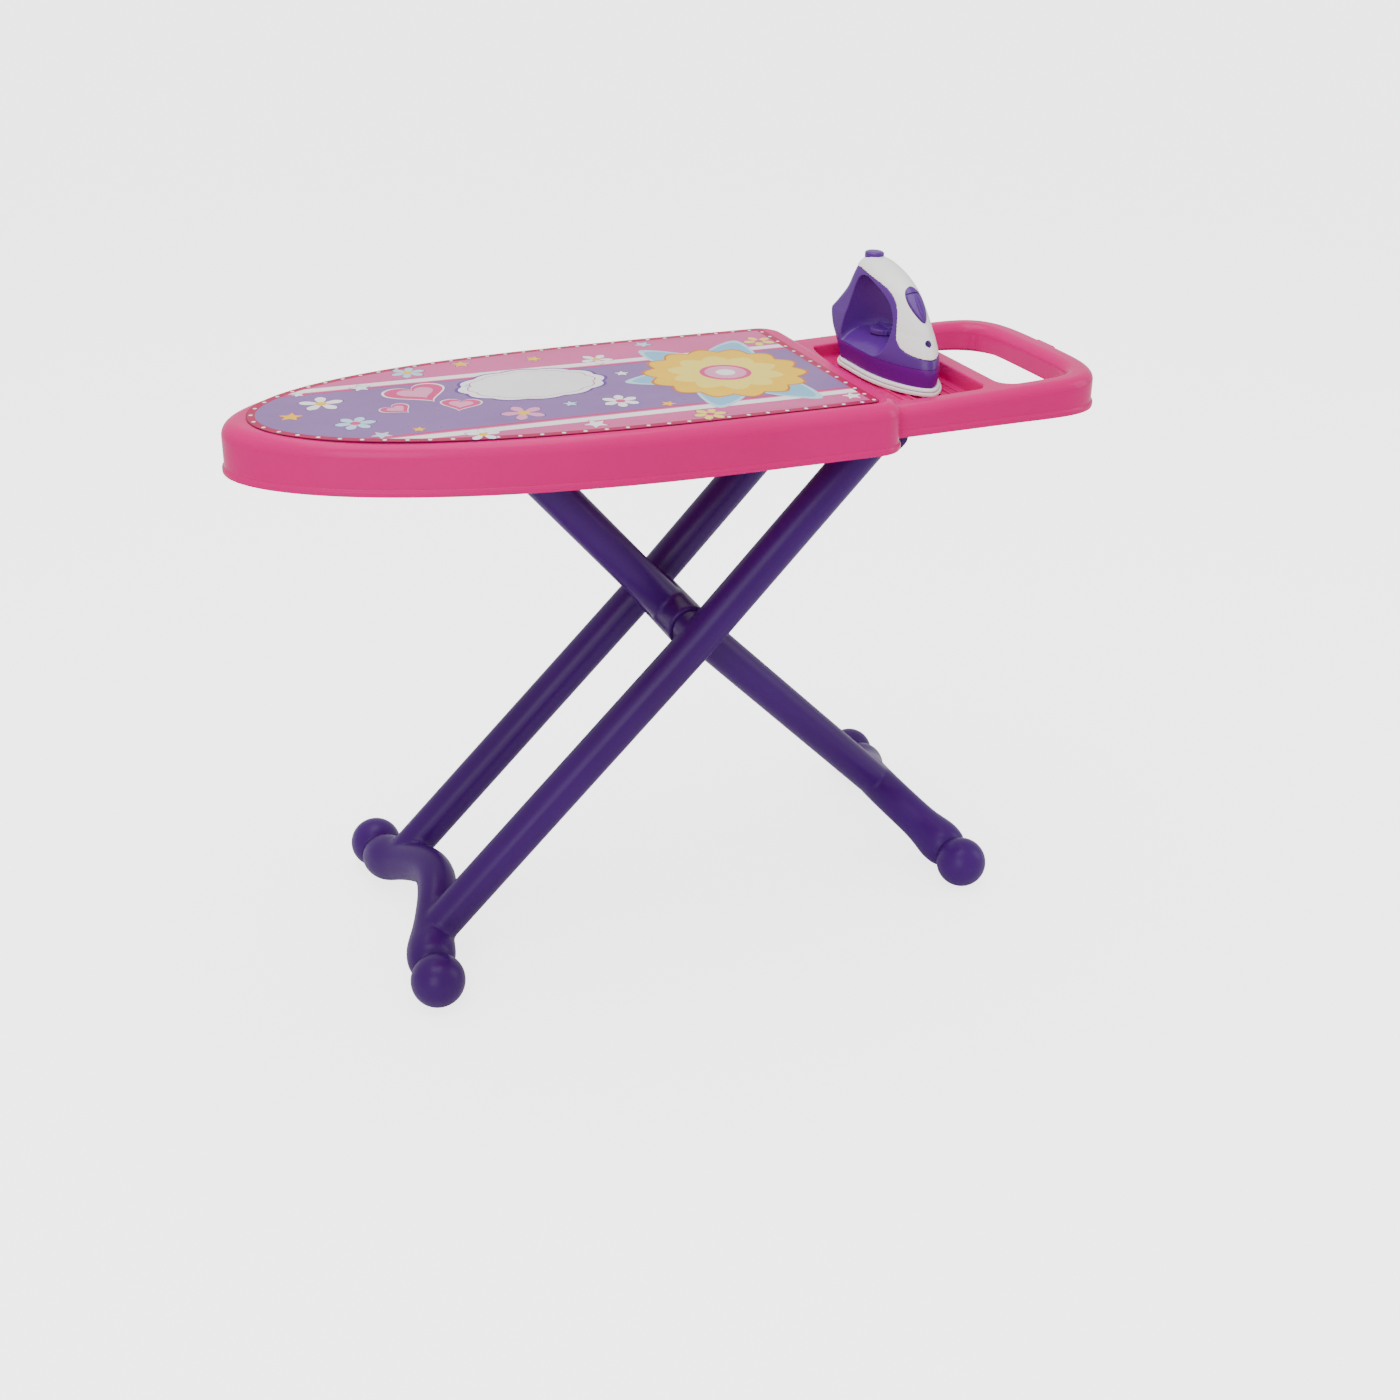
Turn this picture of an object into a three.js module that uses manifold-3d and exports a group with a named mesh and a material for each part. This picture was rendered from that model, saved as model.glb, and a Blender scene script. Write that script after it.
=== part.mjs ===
// A child's toy ironing board with a toy iron lying in its tray, in millimetres.
// +Z is up, the floor is z = 0, the nose of the board points along -X and the handle along +X.
// The board is one ribbed moulding that is open beneath. An outer frame of two tubes is hinged under
// the tray, a single inner leg crosses between them, and its top bar slides in two tracks.
import * as THREE from 'three';
import { mergeVertices } from 'three/addons/utils/BufferGeometryUtils.js';
import Module from 'manifold-3d';

const wasm = await Module();
wasm.setup();

// Driving sizes of the whole
const boardLength = 710;        // nose tip to the end of the handle
const boardWidth = 255;         // over the lip of the main board
const standHeight = 470;        // floor to the printed top
const seatGap = 0.3;            // between pieces that touch
const overrun = 5;              // how far a cutting form passes the face that it cuts

// Main board
const trayLength = 212;         // step down from the main board to the end of the handle
const straightLength = 123;     // where the main board's sides run straight, up to the step
const nosePowerAlong = 2.25;
const nosePowerAcross = 1.9;
const boardDepth = 39;
const topFillet = 11;
const endCornerRadius = 16;
const lipWidth = 1.5;           // how far the bottom lip stands out
const lipHeight = 4.5;
const lipRound = 1;
const sideDraft = 0.5;
const wall = 2.6;
const topWall = 2.8;

// Printed sheet on the top
const labelThickness = 0.5;
const labelSideInset = 15;
const labelNoseInset = 21;
const labelEndInset = 16;
const labelCornerRadius = 6;
const labelPowerAlong = 2.65;
const labelPowerAcross = 2.05;

// Tray and handle
const trayStep = 10.5;          // from the printed top down to the tray's rail
const trayRise = 8.5;           // rise of the rail from the step to the handle's end
const trayBottomRise = 6;       // tray's lower edge above the main board's
const trayHalfWidth = 110;
const handleHalfWidth = 107;
const handleEndLength = 85;     // length of the rounded end
const handlePower = 4.2;
const trayFillet = 9;
const trayOverlap = 22;         // how far the tray's form starts inside the main board's
const trayJoinRadius = 14;      // corners of that start, more than the tray's own top edge needs
const recessOffset = 24;        // from the step to the recess for the iron
const recessLength = 75;
const recessHalfWidth = 88;
const recessDepth = 9.5;
const recessCornerRadius = 10;
const recessEdge = 2;
const bridgeWidth = 15;         // between the recess and the hand hole
const handleBarWidth = 29;
const handleRailWidth = 29;
const holePower = 5;
const holeCornerRadius = 12;
const holeFillet = 8;
const holeWallLift = 8;         // the hand hole's wall ends this far above the tray's lower edge
const floorRibPitch = 9;
const floorRibWidth = 2;
const floorRibHeight = 1.2;
const floorRibLength = 150;
const floorRibCount = 7;
const nubLength = 26;
const nubRadius = 3.5;

// Ribs and screw posts under the board
const ribThickness = 1.8;
const ribHeight = 6;
const ribPitch = 62;
const sideRibPlace = 84;        // from the middle to each lengthwise rib
const innerRibPlace = 22;
const postRadius = 4.5;
const screwRadius = 1.5;
const screwHeadRadius = 3;
const screwHeadHeight = 1.8;
const screwLength = 12;

// Legs
const footInset = 109.5;        // from the board's ends to the ball centres, along the board
const footWidth = 223.8;        // between the ball centres of one foot bar
const ballRadius = 22.3;
const ballFlat = 0.4;           // worn flat under each ball
const ballCut = 16;             // from a ball's centre to its face on the foot bar
const stubRadius = 9;
const crossingX = 1.7;
const crossingHeight = 266.3;
const hingePlace = 15.4;        // from the step towards the handle
const hingeDrop = 1;            // hinge's axis below the main board's lower edge
const slidePlace = 201.5;       // from the nose tip to the inner leg's top bar
const slideRise = 14;           // that bar's axis above the main board's lower edge
const tubeRadius = 16;
const tubeSpacing = 119.8;      // between the centre lines of the outer frame's two tubes
const archHeight = 38.5;        // rise of the foot bar's middle along the leg
const archHalfWidth = 100;
const footBarRadius = 17;
const lobeSwell = 3.5;
const lobePlace = 78;
const lobeLength = 16;
const neckLength = 10;
const neckShare = 0.6;
const hingeEyeRadius = 17;
const hingeEyeWidth = 36;
const hingeBarRadius = 11;
const barrelRadius = 18.8;
const bossRadius = 17;
const bossHeight = 3;           // how far the outer tubes' bosses stand in towards the barrel
const washerThickness = 1.2;
const washerRadius = 15.5;
const rodRadius = 4;
const rodInset = 4;             // from the outer tubes' centre lines back to the rod's ends
const slideEyeRadius = 14;
const slideEyeWidth = 36;
const slideTubeRadius = 12.5;   // the inner leg narrows to this at its top
const slideTaperShare = 0.8;    // where that starts, from the crossing to the top bar
const slideBarRadius = 8;
const slideBarLength = 73;
const sliderRadius = 8.5;
const sliderWidth = 8;
const spigotRadius = 4.5;

// Hinge clips and tracks
const clipRadius = 15.5;
const clipWidth = 12;
const clipPlay = 1;             // between each clip and the eye beside it
const clipMouthHalf = 8;
const clipMouthFlare = 4;
const clipFlangeLength = 50;    // from the hinge's axis towards the nose
const clipFlangeThickness = 3.3;
const clipScrewPlace = 23;      // from the hinge's axis to the nearer screw
const clipScrewSpacing = 19;
const clipRise = 1;             // posts end this far above the clip's round back
const trackNoseInset = 47.8;    // from the nose tip to the tracks' stops, where folding ends
const trackClearance = 1;
const trackWall = 2.6;
const trackLipCover = 0.5;      // how far the flanges reach past the slider
const trackEarLength = 10.5;
const trackEarWidth = 12;
const trackEarInset = 36;
const detentRadius = 3;
const detentRise = 0.6;

// Toy iron
const ironLength = 148;
const ironWidth = 63;
const ironHeight = 90;
const ironOffset = -3;          // from the middle of the recess, along the board
const ironY = 4.5;
const ironPowerAlong = 1.9;
const ironPowerAcross = 1.8;
const ironHeelShare = 0.4;      // straight-sided part of each section, of its length
const soleCornerShare = 0.75;   // heel's corner radius on the sole, of its half width
const soleThickness = 3.2;
const soleEdge = 1;
const soleHeelInset = 6.5;
const trimThickness = 2.4;
const trimInset = 1.2;
const skirtHeight = 14.7;
const coverThickness = 2.2;
const coverProud = 0.5;
const openingScoop = 13.5;       // how far the deck under the handle falls away to the flanks
const dialRadius = 13;
const dialHeight = 4.5;
const dialRidgeHeight = 2;
const dialRidgeWidth = 3.5;
const dialStemRadius = 3;
const dialStemLength = 6;
const dialY = 23;
const buttonLength = 15;
const buttonWidth = 12.5;
const buttonProud = 4;
const buttonY = 50;
const buttonTravel = 2;
const buttonDome = 1.5;
const switchLength = 42;
const switchWidth = 15;
const switchProud = 2;
const switchRidgeProud = 1.2;
const switchRidgeShare = 0.62;  // size of the raised ridge, of the switch's oval
const switchY = -22;
const switchAngle = 40;         // degrees that the oval leans forwards
const switchTravel = 1.5;
const lampRadius = 2.6;
const lampProud = 0.8;
const lampY = -50;
const lampAngle = 62;
const baseScrewRadius = 1.3;
const baseScrewHeadRadius = 2.4;
const baseScrewHeadHeight = 1.4;
const baseScrewGrip = 8;        // how far each base screw goes up into the body
const heelScrewY = 52;
const heelScrewPlace = 15;
const noseScrewY = -18;
const noseScrewPlace = 10;

// How finely round forms are divided
const roundSides = 16;
const smallSides = 10;
const screwSides = 8;
const noseSteps = 28;
const ironNoseSteps = 14;
const cornerSteps = 3;
const filletSteps = 3;
const innerFilletSteps = 2;
const mergeDistance = 0.01;     // faces closer to one plane than this are made one

// Places that follow from the sizes
const noseTipX = -boardLength / 2;
const handleEndX = boardLength / 2;
const mainEndX = handleEndX - trayLength;
const shoulderX = mainEndX - straightLength;
const shellTop = standHeight - labelThickness - seatGap;
const boardBottom = standHeight - boardDepth;
const trayBottom = boardBottom + trayBottomRise;
const trayTopStart = standHeight - trayStep;
const traySlope = trayRise / (handleEndX - mainEndX);
const trayTop = (x) => trayTopStart + (x - mainEndX) * traySlope;
const recessStartX = mainEndX + recessOffset;
const recessEndX = recessStartX + recessLength;
const recessFloor = trayTopStart - recessDepth;
const holeStartX = recessEndX + bridgeWidth;
const footHeight = ballRadius - ballFlat;
const underside = shellTop - topWall;
const hingeX = mainEndX + hingePlace;
const hingeHeight = boardBottom - hingeDrop;
const slideX = noseTipX + slidePlace;
const slideHeight = boardBottom + slideRise;
const ironX = (recessStartX + recessEndX) / 2 + ironOffset;
const hinge = new THREE.Vector3(hingeX, 0, hingeHeight);
const crossing = new THREE.Vector3(crossingX, 0, crossingHeight);
const slide = new THREE.Vector3(slideX, 0, slideHeight);
const upright = new THREE.Vector3(0, 1, 0);
const degree = Math.PI / 180;
const quarterTurn = Math.PI / 2;

// Materials
const plastic = (color, roughness) => new THREE.MeshStandardMaterial({ color, roughness, metalness: 0 });
const pink = plastic(0xe0147a, 0.32);
const print = plastic(0xb58fc0, 0.35);
const purple = plastic(0x4a2a85, 0.4);
const lilac = plastic(0x5f4298, 0.3);
const magenta = plastic(0x6a1a7c, 0.3);
const white = plastic(0xeeeeec, 0.3);
const grey = plastic(0xbdbcc0, 0.35);
const steel = new THREE.MeshStandardMaterial({ color: 0xb8bcc2, roughness: 0.35, metalness: 0.9 });

// Solids from closed geometry
function signedVolume(position, index) {
  const corner = (i) => new THREE.Vector3().fromArray(position, 3 * index[i]);
  let total = 0;
  for (let i = 0; i < index.length; i += 3) {
    total += corner(i).dot(corner(i + 1).cross(corner(i + 2)));
  }
  return total;
}

function solid(geometry) {
  const bare = geometry.clone();
  bare.deleteAttribute('normal');
  bare.deleteAttribute('uv');
  const merged = mergeVertices(bare);
  const vertProperties = new Float32Array(merged.attributes.position.array);
  const triVerts = new Uint32Array(merged.index.array);
  if (signedVolume(vertProperties, triVerts) < 0) {
    triVerts.reverse();
  }
  return new wasm.Manifold(new wasm.Mesh({ numProp: 3, vertProperties, triVerts }));
}

function geometryOf(manifold) {
  const { vertProperties, triVerts } = manifold.getMesh();
  const geometry = new THREE.BufferGeometry();
  geometry.setAttribute('position', new THREE.BufferAttribute(new Float32Array(vertProperties), 3));
  geometry.setIndex(new THREE.BufferAttribute(new Uint32Array(triVerts), 1));
  geometry.computeVertexNormals();
  return geometry;
}

const joined = (solids) => solids.reduce((whole, piece) => whole.add(piece));
const cut = (body, tools) => tools.reduce((rest, tool) => rest.subtract(tool), body);

// A closed skin through rings of equal count, with each end closed by a fan about its middle
function loft(rings) {
  const count = rings[0].length;
  const points = rings.flat();
  const index = [];
  for (let r = 0; r < rings.length - 1; r++) {
    for (let i = 0; i < count; i++) {
      const a = r * count + i;
      const b = r * count + ((i + 1) % count);
      index.push(a, b, b + count, a, b + count, a + count);
    }
  }
  for (const r of [0, rings.length - 1]) {
    const middle = rings[r].reduce((sum, p) => sum.add(p), new THREE.Vector3()).divideScalar(count);
    points.push(middle);
    for (let i = 0; i < count; i++) {
      const a = r * count + i;
      const b = r * count + ((i + 1) % count);
      index.push(points.length - 1, r === 0 ? b : a, r === 0 ? a : b);
    }
  }
  const geometry = new THREE.BufferGeometry().setFromPoints(points);
  geometry.setIndex(index);
  return solid(geometry);
}

// A round bar through stations that lie in one plane
function sweep(stations, radii, planeNormal, sides = roundSides) {
  const rings = stations.map((centre, k) => {
    const before = stations[Math.max(k - 1, 0)];
    const after = stations[Math.min(k + 1, stations.length - 1)];
    const along = after.clone().sub(before).normalize();
    const across = new THREE.Vector3().crossVectors(along, planeNormal);
    return Array.from({ length: sides }, (_, i) => {
      const angle = (2 * Math.PI * i) / sides;
      return centre.clone()
        .addScaledVector(across, radii[k] * Math.cos(angle))
        .addScaledVector(planeNormal, radii[k] * Math.sin(angle));
    });
  });
  return loft(rings);
}

function barAlong(axis, centre, radius, length, sides = roundSides, endRadius = radius) {
  const geometry = new THREE.CylinderGeometry(endRadius, radius, length, sides);
  if (axis === 'x') {
    geometry.rotateZ(-quarterTurn);
  }
  if (axis === 'z') {
    geometry.rotateX(quarterTurn);
  }
  return solid(geometry.translate(centre.x, centre.y, centre.z));
}

function block(x0, x1, y0, y1, z0, z1) {
  const geometry = new THREE.BoxGeometry(x1 - x0, y1 - y0, z1 - z0);
  return solid(geometry.translate((x0 + x1) / 2, (y0 + y1) / 2, (z0 + z1) / 2));
}

// An outline in the YZ plane pushed along X between two planes
function sidePrism(outline, x0, x1) {
  const shape = new THREE.Shape(outline.map(([y, z]) => new THREE.Vector2(y, z)));
  const geometry = new THREE.ExtrudeGeometry(shape, { depth: x1 - x0, bevelEnabled: false });
  const turn = new THREE.Matrix4().makeBasis(
    new THREE.Vector3(0, 1, 0), new THREE.Vector3(0, 0, 1), new THREE.Vector3(1, 0, 0));
  return solid(geometry.applyMatrix4(turn).translate(x0, 0, 0));
}

// Bullet outline: a superellipse nose at the low end, straight sides and round corners at the high end
function bullet({ tip, shoulder, end, half, endHalf = half, corner, along, across,
  steps = noseSteps }) {
  const points = [];
  const cornerSlope = Math.atan2(half - endHalf, end - shoulder);
  for (let i = 0; i <= cornerSteps; i++) {
    const angle = (i / cornerSteps) * (quarterTurn - cornerSlope);
    points.push([end - corner + corner * Math.cos(angle), endHalf - corner + corner * Math.sin(angle)]);
  }
  for (let i = 0; i <= steps; i++) {
    const angle = quarterTurn + (i / steps) * Math.PI;
    const x = Math.pow(Math.abs(Math.cos(angle)), 2 / along);
    const y = Math.pow(Math.abs(Math.sin(angle)), 2 / across) * (i === steps / 2 ? 0 : 1);
    points.push([shoulder - (shoulder - tip) * x, (i < steps / 2 ? half : -half) * y]);
  }
  for (let i = cornerSteps; i >= 0; i--) {
    const angle = (i / cornerSteps) * (quarterTurn - cornerSlope);
    points.push([end - corner + corner * Math.cos(angle), -(endHalf - corner + corner * Math.sin(angle))]);
  }
  return points;
}

const halfTurned = (outline) => outline.map(([x, y]) => [-x, -y]);

// Each point moved inwards square to the outline
function inset(outline, distance) {
  const count = outline.length;
  return outline.map(([x, y], i) => {
    const [x0, y0] = outline[(i + count - 1) % count];
    const [x1, y1] = outline[(i + 1) % count];
    const first = new THREE.Vector2(y0 - y, x - x0).normalize();
    const second = new THREE.Vector2(y - y1, x1 - x).normalize();
    const share = distance / (1 + first.dot(second));
    return [x + share * (first.x + second.x), y + share * (first.y + second.y)];
  });
}

// A solid stacked from levels [inset, height], where a height may depend on x
function stack(outline, levels) {
  return loft(levels.map(([distance, height]) => inset(outline, distance).map(([x, y]) =>
    new THREE.Vector3(x, y, typeof height === 'function' ? height(x) : height))));
}

// Levels of a rounded top edge that starts at a given inset
function roundedTop(start, top, radius, steps = filletSteps) {
  return Array.from({ length: steps + 1 }, (_, k) => {
    const angle = (k / steps) * quarterTurn;
    const drop = radius * (1 - Math.sin(angle));
    return [start + radius * (1 - Math.cos(angle)), (x) => top(x) - drop];
  });
}

const group = new THREE.Group();

function place(name, manifold, material) {
  const mesh = new THREE.Mesh(geometryOf(manifold.asOriginal().simplify(mergeDistance)), material);
  mesh.name = name;
  group.add(mesh);
}

// Pieces of one kind, numbered from one
function placeEach(name, solids, material) {
  solids.forEach((piece, k) => place(`${name}_${k + 1}`, piece, material));
}

// Board shell: outlines
const mainOutline = bullet({
  tip: noseTipX, shoulder: shoulderX, end: mainEndX, half: boardWidth / 2,
  corner: endCornerRadius, along: nosePowerAlong, across: nosePowerAcross,
});
const trayOutline = halfTurned(bullet({
  tip: -handleEndX, shoulder: -handleEndX + handleEndLength, end: -(mainEndX - trayOverlap),
  half: handleHalfWidth, endHalf: trayHalfWidth, corner: trayJoinRadius, along: handlePower,
  across: handlePower,
}));
const holeOutline = halfTurned(bullet({
  tip: -(handleEndX - handleBarWidth), shoulder: -(holeStartX + holeCornerRadius),
  end: -holeStartX, half: handleHalfWidth - handleRailWidth, corner: holeCornerRadius,
  along: holePower, across: holePower,
}));
const recessOutline = bullet({
  tip: recessStartX, shoulder: recessStartX + recessCornerRadius, end: recessEndX,
  half: recessHalfWidth, corner: recessCornerRadius, along: 2, across: 2,
});

function mainForm(inward, topDrop, steps) {
  return stack(mainOutline, [
    [lipWidth + inward, boardBottom - overrun],
    ...roundedTop(lipWidth + sideDraft + inward, () => shellTop - topDrop, topFillet - inward, steps),
  ]);
}

function lipForm(outline, bottom) {
  return stack(outline, [
    [lipRound, bottom],
    [0, bottom + lipRound],
    [0, bottom + lipHeight - lipRound],
    [lipWidth + sideDraft, bottom + lipHeight + lipWidth],
  ]);
}

function trayForm(inward, topDrop, steps) {
  return stack(trayOutline, [
    [lipWidth + inward, boardBottom - overrun],
    ...roundedTop(lipWidth + sideDraft + inward, (x) => trayTop(x) - topDrop, trayFillet - inward,
      steps),
  ]);
}

function holeForm(outward, steps) {
  const flare = roundedTop(0, trayTop, holeFillet, steps).map(([distance, height]) => [
    -distance - outward, height]);
  return stack(holeOutline, [
    [-outward, boardBottom - overrun],
    ...flare,
    [-holeFillet - outward, (x) => trayTop(x) + overrun],
  ]);
}

function recessForm(outward) {
  return stack(recessOutline, [
    [recessEdge - outward, recessFloor - outward],
    [-outward, recessFloor + recessEdge - outward],
    [-outward, (x) => trayTop(x) - recessEdge],
    [-recessEdge - outward, (x) => trayTop(x) + seatGap],
    [-recessEdge - outward, (x) => trayTop(x) + overrun],
  ]);
}

const belowMain = block(noseTipX - overrun, mainEndX + overrun, -boardWidth, boardWidth,
  boardBottom - 2 * overrun, boardBottom);
const belowTray = block(mainEndX - trayOverlap - overrun, handleEndX + overrun, -boardWidth, boardWidth,
  boardBottom - 2 * overrun, trayBottom);

// Screw posts: a place is [x, y, lower end]
const clipPlace = tubeSpacing / 2 - hingeEyeWidth / 2 - clipPlay - clipWidth / 2;
const clipPostLow = hingeHeight + clipRadius + clipRise;
const clipPosts = [-1, 1].flatMap((side) => [0, 1].map((k) => [
  hingeX - clipScrewPlace - k * clipScrewSpacing, side * clipPlace, clipPostLow]));
const clipFlangeTop = clipPostLow - seatGap;
const hingeBarLength = tubeSpacing + hingeEyeWidth;

// Tracks: they run from the stops near the nose, where folding ends, to the open legs' place
const trackInnerY = slideBarLength / 2 + seatGap - trackLipCover;
const trackWebY = slideBarLength / 2 + seatGap + sliderWidth + seatGap;
const trackOuterY = trackWebY + trackWall;
const trackRoof = slideHeight + sliderRadius + trackClearance;
const trackFloor = slideHeight - sliderRadius - trackClearance;
const trackStartX = noseTipX + trackNoseInset;
const trackEndX = slideX + sliderRadius + trackClearance;
const trackEarX = [trackStartX + trackEarInset, trackEndX - trackEarInset];
const trackPostY = trackOuterY + trackEarLength / 2;
const trackPosts = [-1, 1].flatMap((side) => trackEarX.map((x) => [
  x, side * trackPostY, trackRoof + trackWall + seatGap]));

function postAt([x, y, low]) {
  const high = shellTop;
  return barAlong('z', new THREE.Vector3(x, y, (low + high) / 2), postRadius, high - low, screwSides);
}

function pilotAt([x, y, low]) {
  const depth = screwLength;
  const radius = screwRadius + seatGap;
  return barAlong('z', new THREE.Vector3(x, y, low + depth / 2 - overrun / 2), radius, depth + overrun,
    screwSides);
}

function screwAt([x, y, low], seat) {
  const shank = barAlong('z', new THREE.Vector3(x, y, seat + screwLength / 2), screwRadius, screwLength,
    screwSides);
  const head = barAlong('z', new THREE.Vector3(x, y, seat - screwHeadHeight / 2), screwHeadRadius,
    screwHeadHeight, screwSides);
  return shank.add(head);
}

// Ribs hang from the underside of the main board and of the recess
function ribForms() {
  const ribs = [];
  const low = underside - ribHeight;
  const half = ribThickness / 2;
  const crossCount = Math.floor((mainEndX - noseTipX - topFillet) / ribPitch);
  for (let k = 1; k <= crossCount; k++) {
    const x = noseTipX + k * ribPitch;
    ribs.push(block(x - half, x + half, -boardWidth, boardWidth, low, shellTop));
  }
  for (const y of [-sideRibPlace, -innerRibPlace, innerRibPlace, sideRibPlace]) {
    ribs.push(block(noseTipX, mainEndX, y - half, y + half, low, shellTop));
  }
  const trayRibLow = recessFloor - wall - ribHeight;
  for (const y of [-recessHalfWidth / 2, 0, recessHalfWidth / 2]) {
    const start = hingeX + hingeEyeRadius + overrun;
    ribs.push(block(start, recessEndX + bridgeWidth / 2, y - half, y + half, trayRibLow, shellTop));
  }
  return ribs;
}

function boardShell() {
  const outer = mainForm(0, 0).add(trayForm(0, 0)).add(lipForm(mainOutline, boardBottom))
    .add(lipForm(trayOutline, trayBottom)).subtract(belowMain.subtract(belowTray)).subtract(belowTray
      .subtract(block(noseTipX - overrun, mainEndX, -boardWidth, boardWidth, boardBottom, trayBottom)));
  const lowBlock = block(noseTipX, mainEndX - lipWidth, -boardWidth, boardWidth,
    boardBottom - 2 * overrun, boardBottom);
  const holeWall = holeForm(wall, innerFilletSteps).subtract(block(holeStartX - handleRailWidth, handleEndX,
    -handleHalfWidth, handleHalfWidth, boardBottom - 2 * overrun, trayBottom + holeWallLift));
  const cavity = cut(mainForm(wall, topWall, innerFilletSteps)
    .add(trayForm(wall, topWall, innerFilletSteps)), [holeWall, recessForm(wall)]);
  const core = mainForm(wall / 2, topWall / 2, innerFilletSteps)
    .add(trayForm(wall / 2, topWall / 2, innerFilletSteps));
  const fittings = joined([...ribForms(), ...clipPosts.map(postAt), ...trackPosts.map(postAt)]);
  const hollow = cut(outer.subtract(lowBlock), [cavity]).add(fittings.intersect(core));
  const pilots = [...clipPosts, ...trackPosts].map(pilotAt);
  const open = cut(hollow, [holeForm(0), recessForm(0), ...pilots]);
  const floorRibs = Array.from({ length: floorRibCount }, (_, k) => {
    const x = (recessStartX + recessEndX) / 2 + (k - (floorRibCount - 1) / 2) * floorRibPitch;
    return block(x - floorRibWidth / 2, x + floorRibWidth / 2, -floorRibLength / 2, floorRibLength / 2,
      recessFloor - wall / 2, recessFloor + floorRibHeight);
  });
  const nubX = handleEndX - lipWidth - sideDraft - trayFillet * (1 - Math.SQRT1_2);
  const nubZ = trayTop(handleEndX) - trayFillet * (1 - Math.SQRT1_2);
  const nub = barAlong('y', new THREE.Vector3(nubX - nubRadius / 2, 0, nubZ - nubRadius / 2), nubRadius,
    nubLength, smallSides);
  return joined([open, ...floorRibs, nub]);
}

place('board_shell', boardShell(), pink);

// Printed sheet
const labelOutline = bullet({
  tip: noseTipX + labelNoseInset, shoulder: shoulderX, end: mainEndX - labelEndInset,
  half: boardWidth / 2 - labelSideInset, corner: labelCornerRadius, along: labelPowerAlong,
  across: labelPowerAcross,
});
place('board_label', stack(labelOutline, [[0, standHeight - labelThickness], [0, standHeight]]), print);

// Hinge clips: open below, so that the bar snaps in from underneath
function hingeClip(side) {
  const y = side * clipPlace;
  const eye = barAlong('y', new THREE.Vector3(hingeX, y, hingeHeight), clipRadius, clipWidth);
  const flange = block(hingeX - clipFlangeLength, hingeX, y - clipWidth / 2, y + clipWidth / 2,
    clipFlangeTop - clipFlangeThickness, clipFlangeTop);
  const bore = barAlong('y', new THREE.Vector3(hingeX, y, hingeHeight), hingeBarRadius + seatGap,
    clipWidth + overrun);
  const mouth = loft([[clipMouthHalf, hingeHeight], [clipMouthHalf, hingeHeight - hingeBarRadius],
    [clipMouthHalf + clipMouthFlare, hingeHeight - clipRadius - overrun]].map(([half, z]) => [
    [half, clipWidth], [-half, clipWidth], [-half, -clipWidth], [half, -clipWidth],
  ].map(([dx, dy]) => new THREE.Vector3(hingeX + dx, y + dy, z))));
  const holes = clipPosts.map(([x, py, low]) => barAlong('z', new THREE.Vector3(x, py, low),
    screwRadius + seatGap, clipRadius, screwSides));
  return cut(eye.add(flange), [bore, mouth, ...holes]);
}

place('hinge_clip_front', hingeClip(-1), pink);
place('hinge_clip_back', hingeClip(1), pink);
placeEach('hinge_clip_screw', clipPosts.map((post) => screwAt(post,
  clipFlangeTop - clipFlangeThickness - seatGap)), steel);

// Tracks: a channel that opens towards the middle, closed at both ends
function legTrack(side) {
  const between = (a, b) => (side > 0 ? [a, b] : [-b, -a]);
  const [y0, y1] = between(trackInnerY, trackOuterY);
  const body = block(trackStartX - trackWall, trackEndX + trackWall, y0, y1, trackFloor - trackWall,
    trackRoof + trackWall);
  const [c0, c1] = between(trackInnerY - overrun, trackWebY);
  const channel = block(trackStartX, trackEndX, c0, c1, trackFloor, trackRoof);
  const [e0, e1] = between(trackOuterY - trackWall / 2, trackOuterY + trackEarLength);
  const ears = trackEarX.map((x) => block(x - trackEarWidth / 2, x + trackEarWidth / 2, e0, e1,
    trackRoof, trackRoof + trackWall));
  const holes = trackPosts.map(([x, y, low]) => barAlong('z', new THREE.Vector3(x, y, low),
    screwRadius + seatGap, 2 * (trackWall + overrun), screwSides));
  const detentX = slideX - sliderRadius - detentRadius;
  const [d0, d1] = between(trackInnerY + trackLipCover, trackWebY + trackWall / 2);
  const detent = barAlong('y', new THREE.Vector3(detentX, (d0 + d1) / 2,
    trackRoof + detentRadius - detentRise), detentRadius, d1 - d0, smallSides)
    .intersect(block(detentX - detentRadius, detentX + detentRadius, d0, d1,
      trackFloor, trackRoof + trackWall / 2));
  return cut(joined([body.subtract(channel), ...ears, detent]), holes);
}

place('leg_track_front', legTrack(-1), pink);
place('leg_track_back', legTrack(1), pink);
placeEach('leg_track_screw', trackPosts.map((post) => screwAt(post, trackRoof - seatGap)), steel);

// Foot bars: both frames stand on the same waved bar, which lies in the plane of its leg
const legDirection = (footX) => {
  const foot = new THREE.Vector3(footX, 0, footHeight);
  return { foot, up: crossing.clone().sub(foot).normalize() };
};

function archAt(y) {
  return Math.abs(y) < archHalfWidth
    ? archHeight * Math.cos((quarterTurn * y) / archHalfWidth) ** 2 : 0;
}

function footRadiusAt(y) {
  const lobe = lobeSwell * Math.exp(-(((Math.abs(y) - lobePlace) / lobeLength) ** 2));
  const neckStart = footWidth / 2 - ballCut - neckLength;
  const neck = THREE.MathUtils.clamp((Math.abs(y) - neckStart) / neckLength, 0, 1);
  return (footBarRadius + lobe) * Math.sqrt(1 - (neckShare * neck) ** 2);
}

const footStations = 24;

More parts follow.
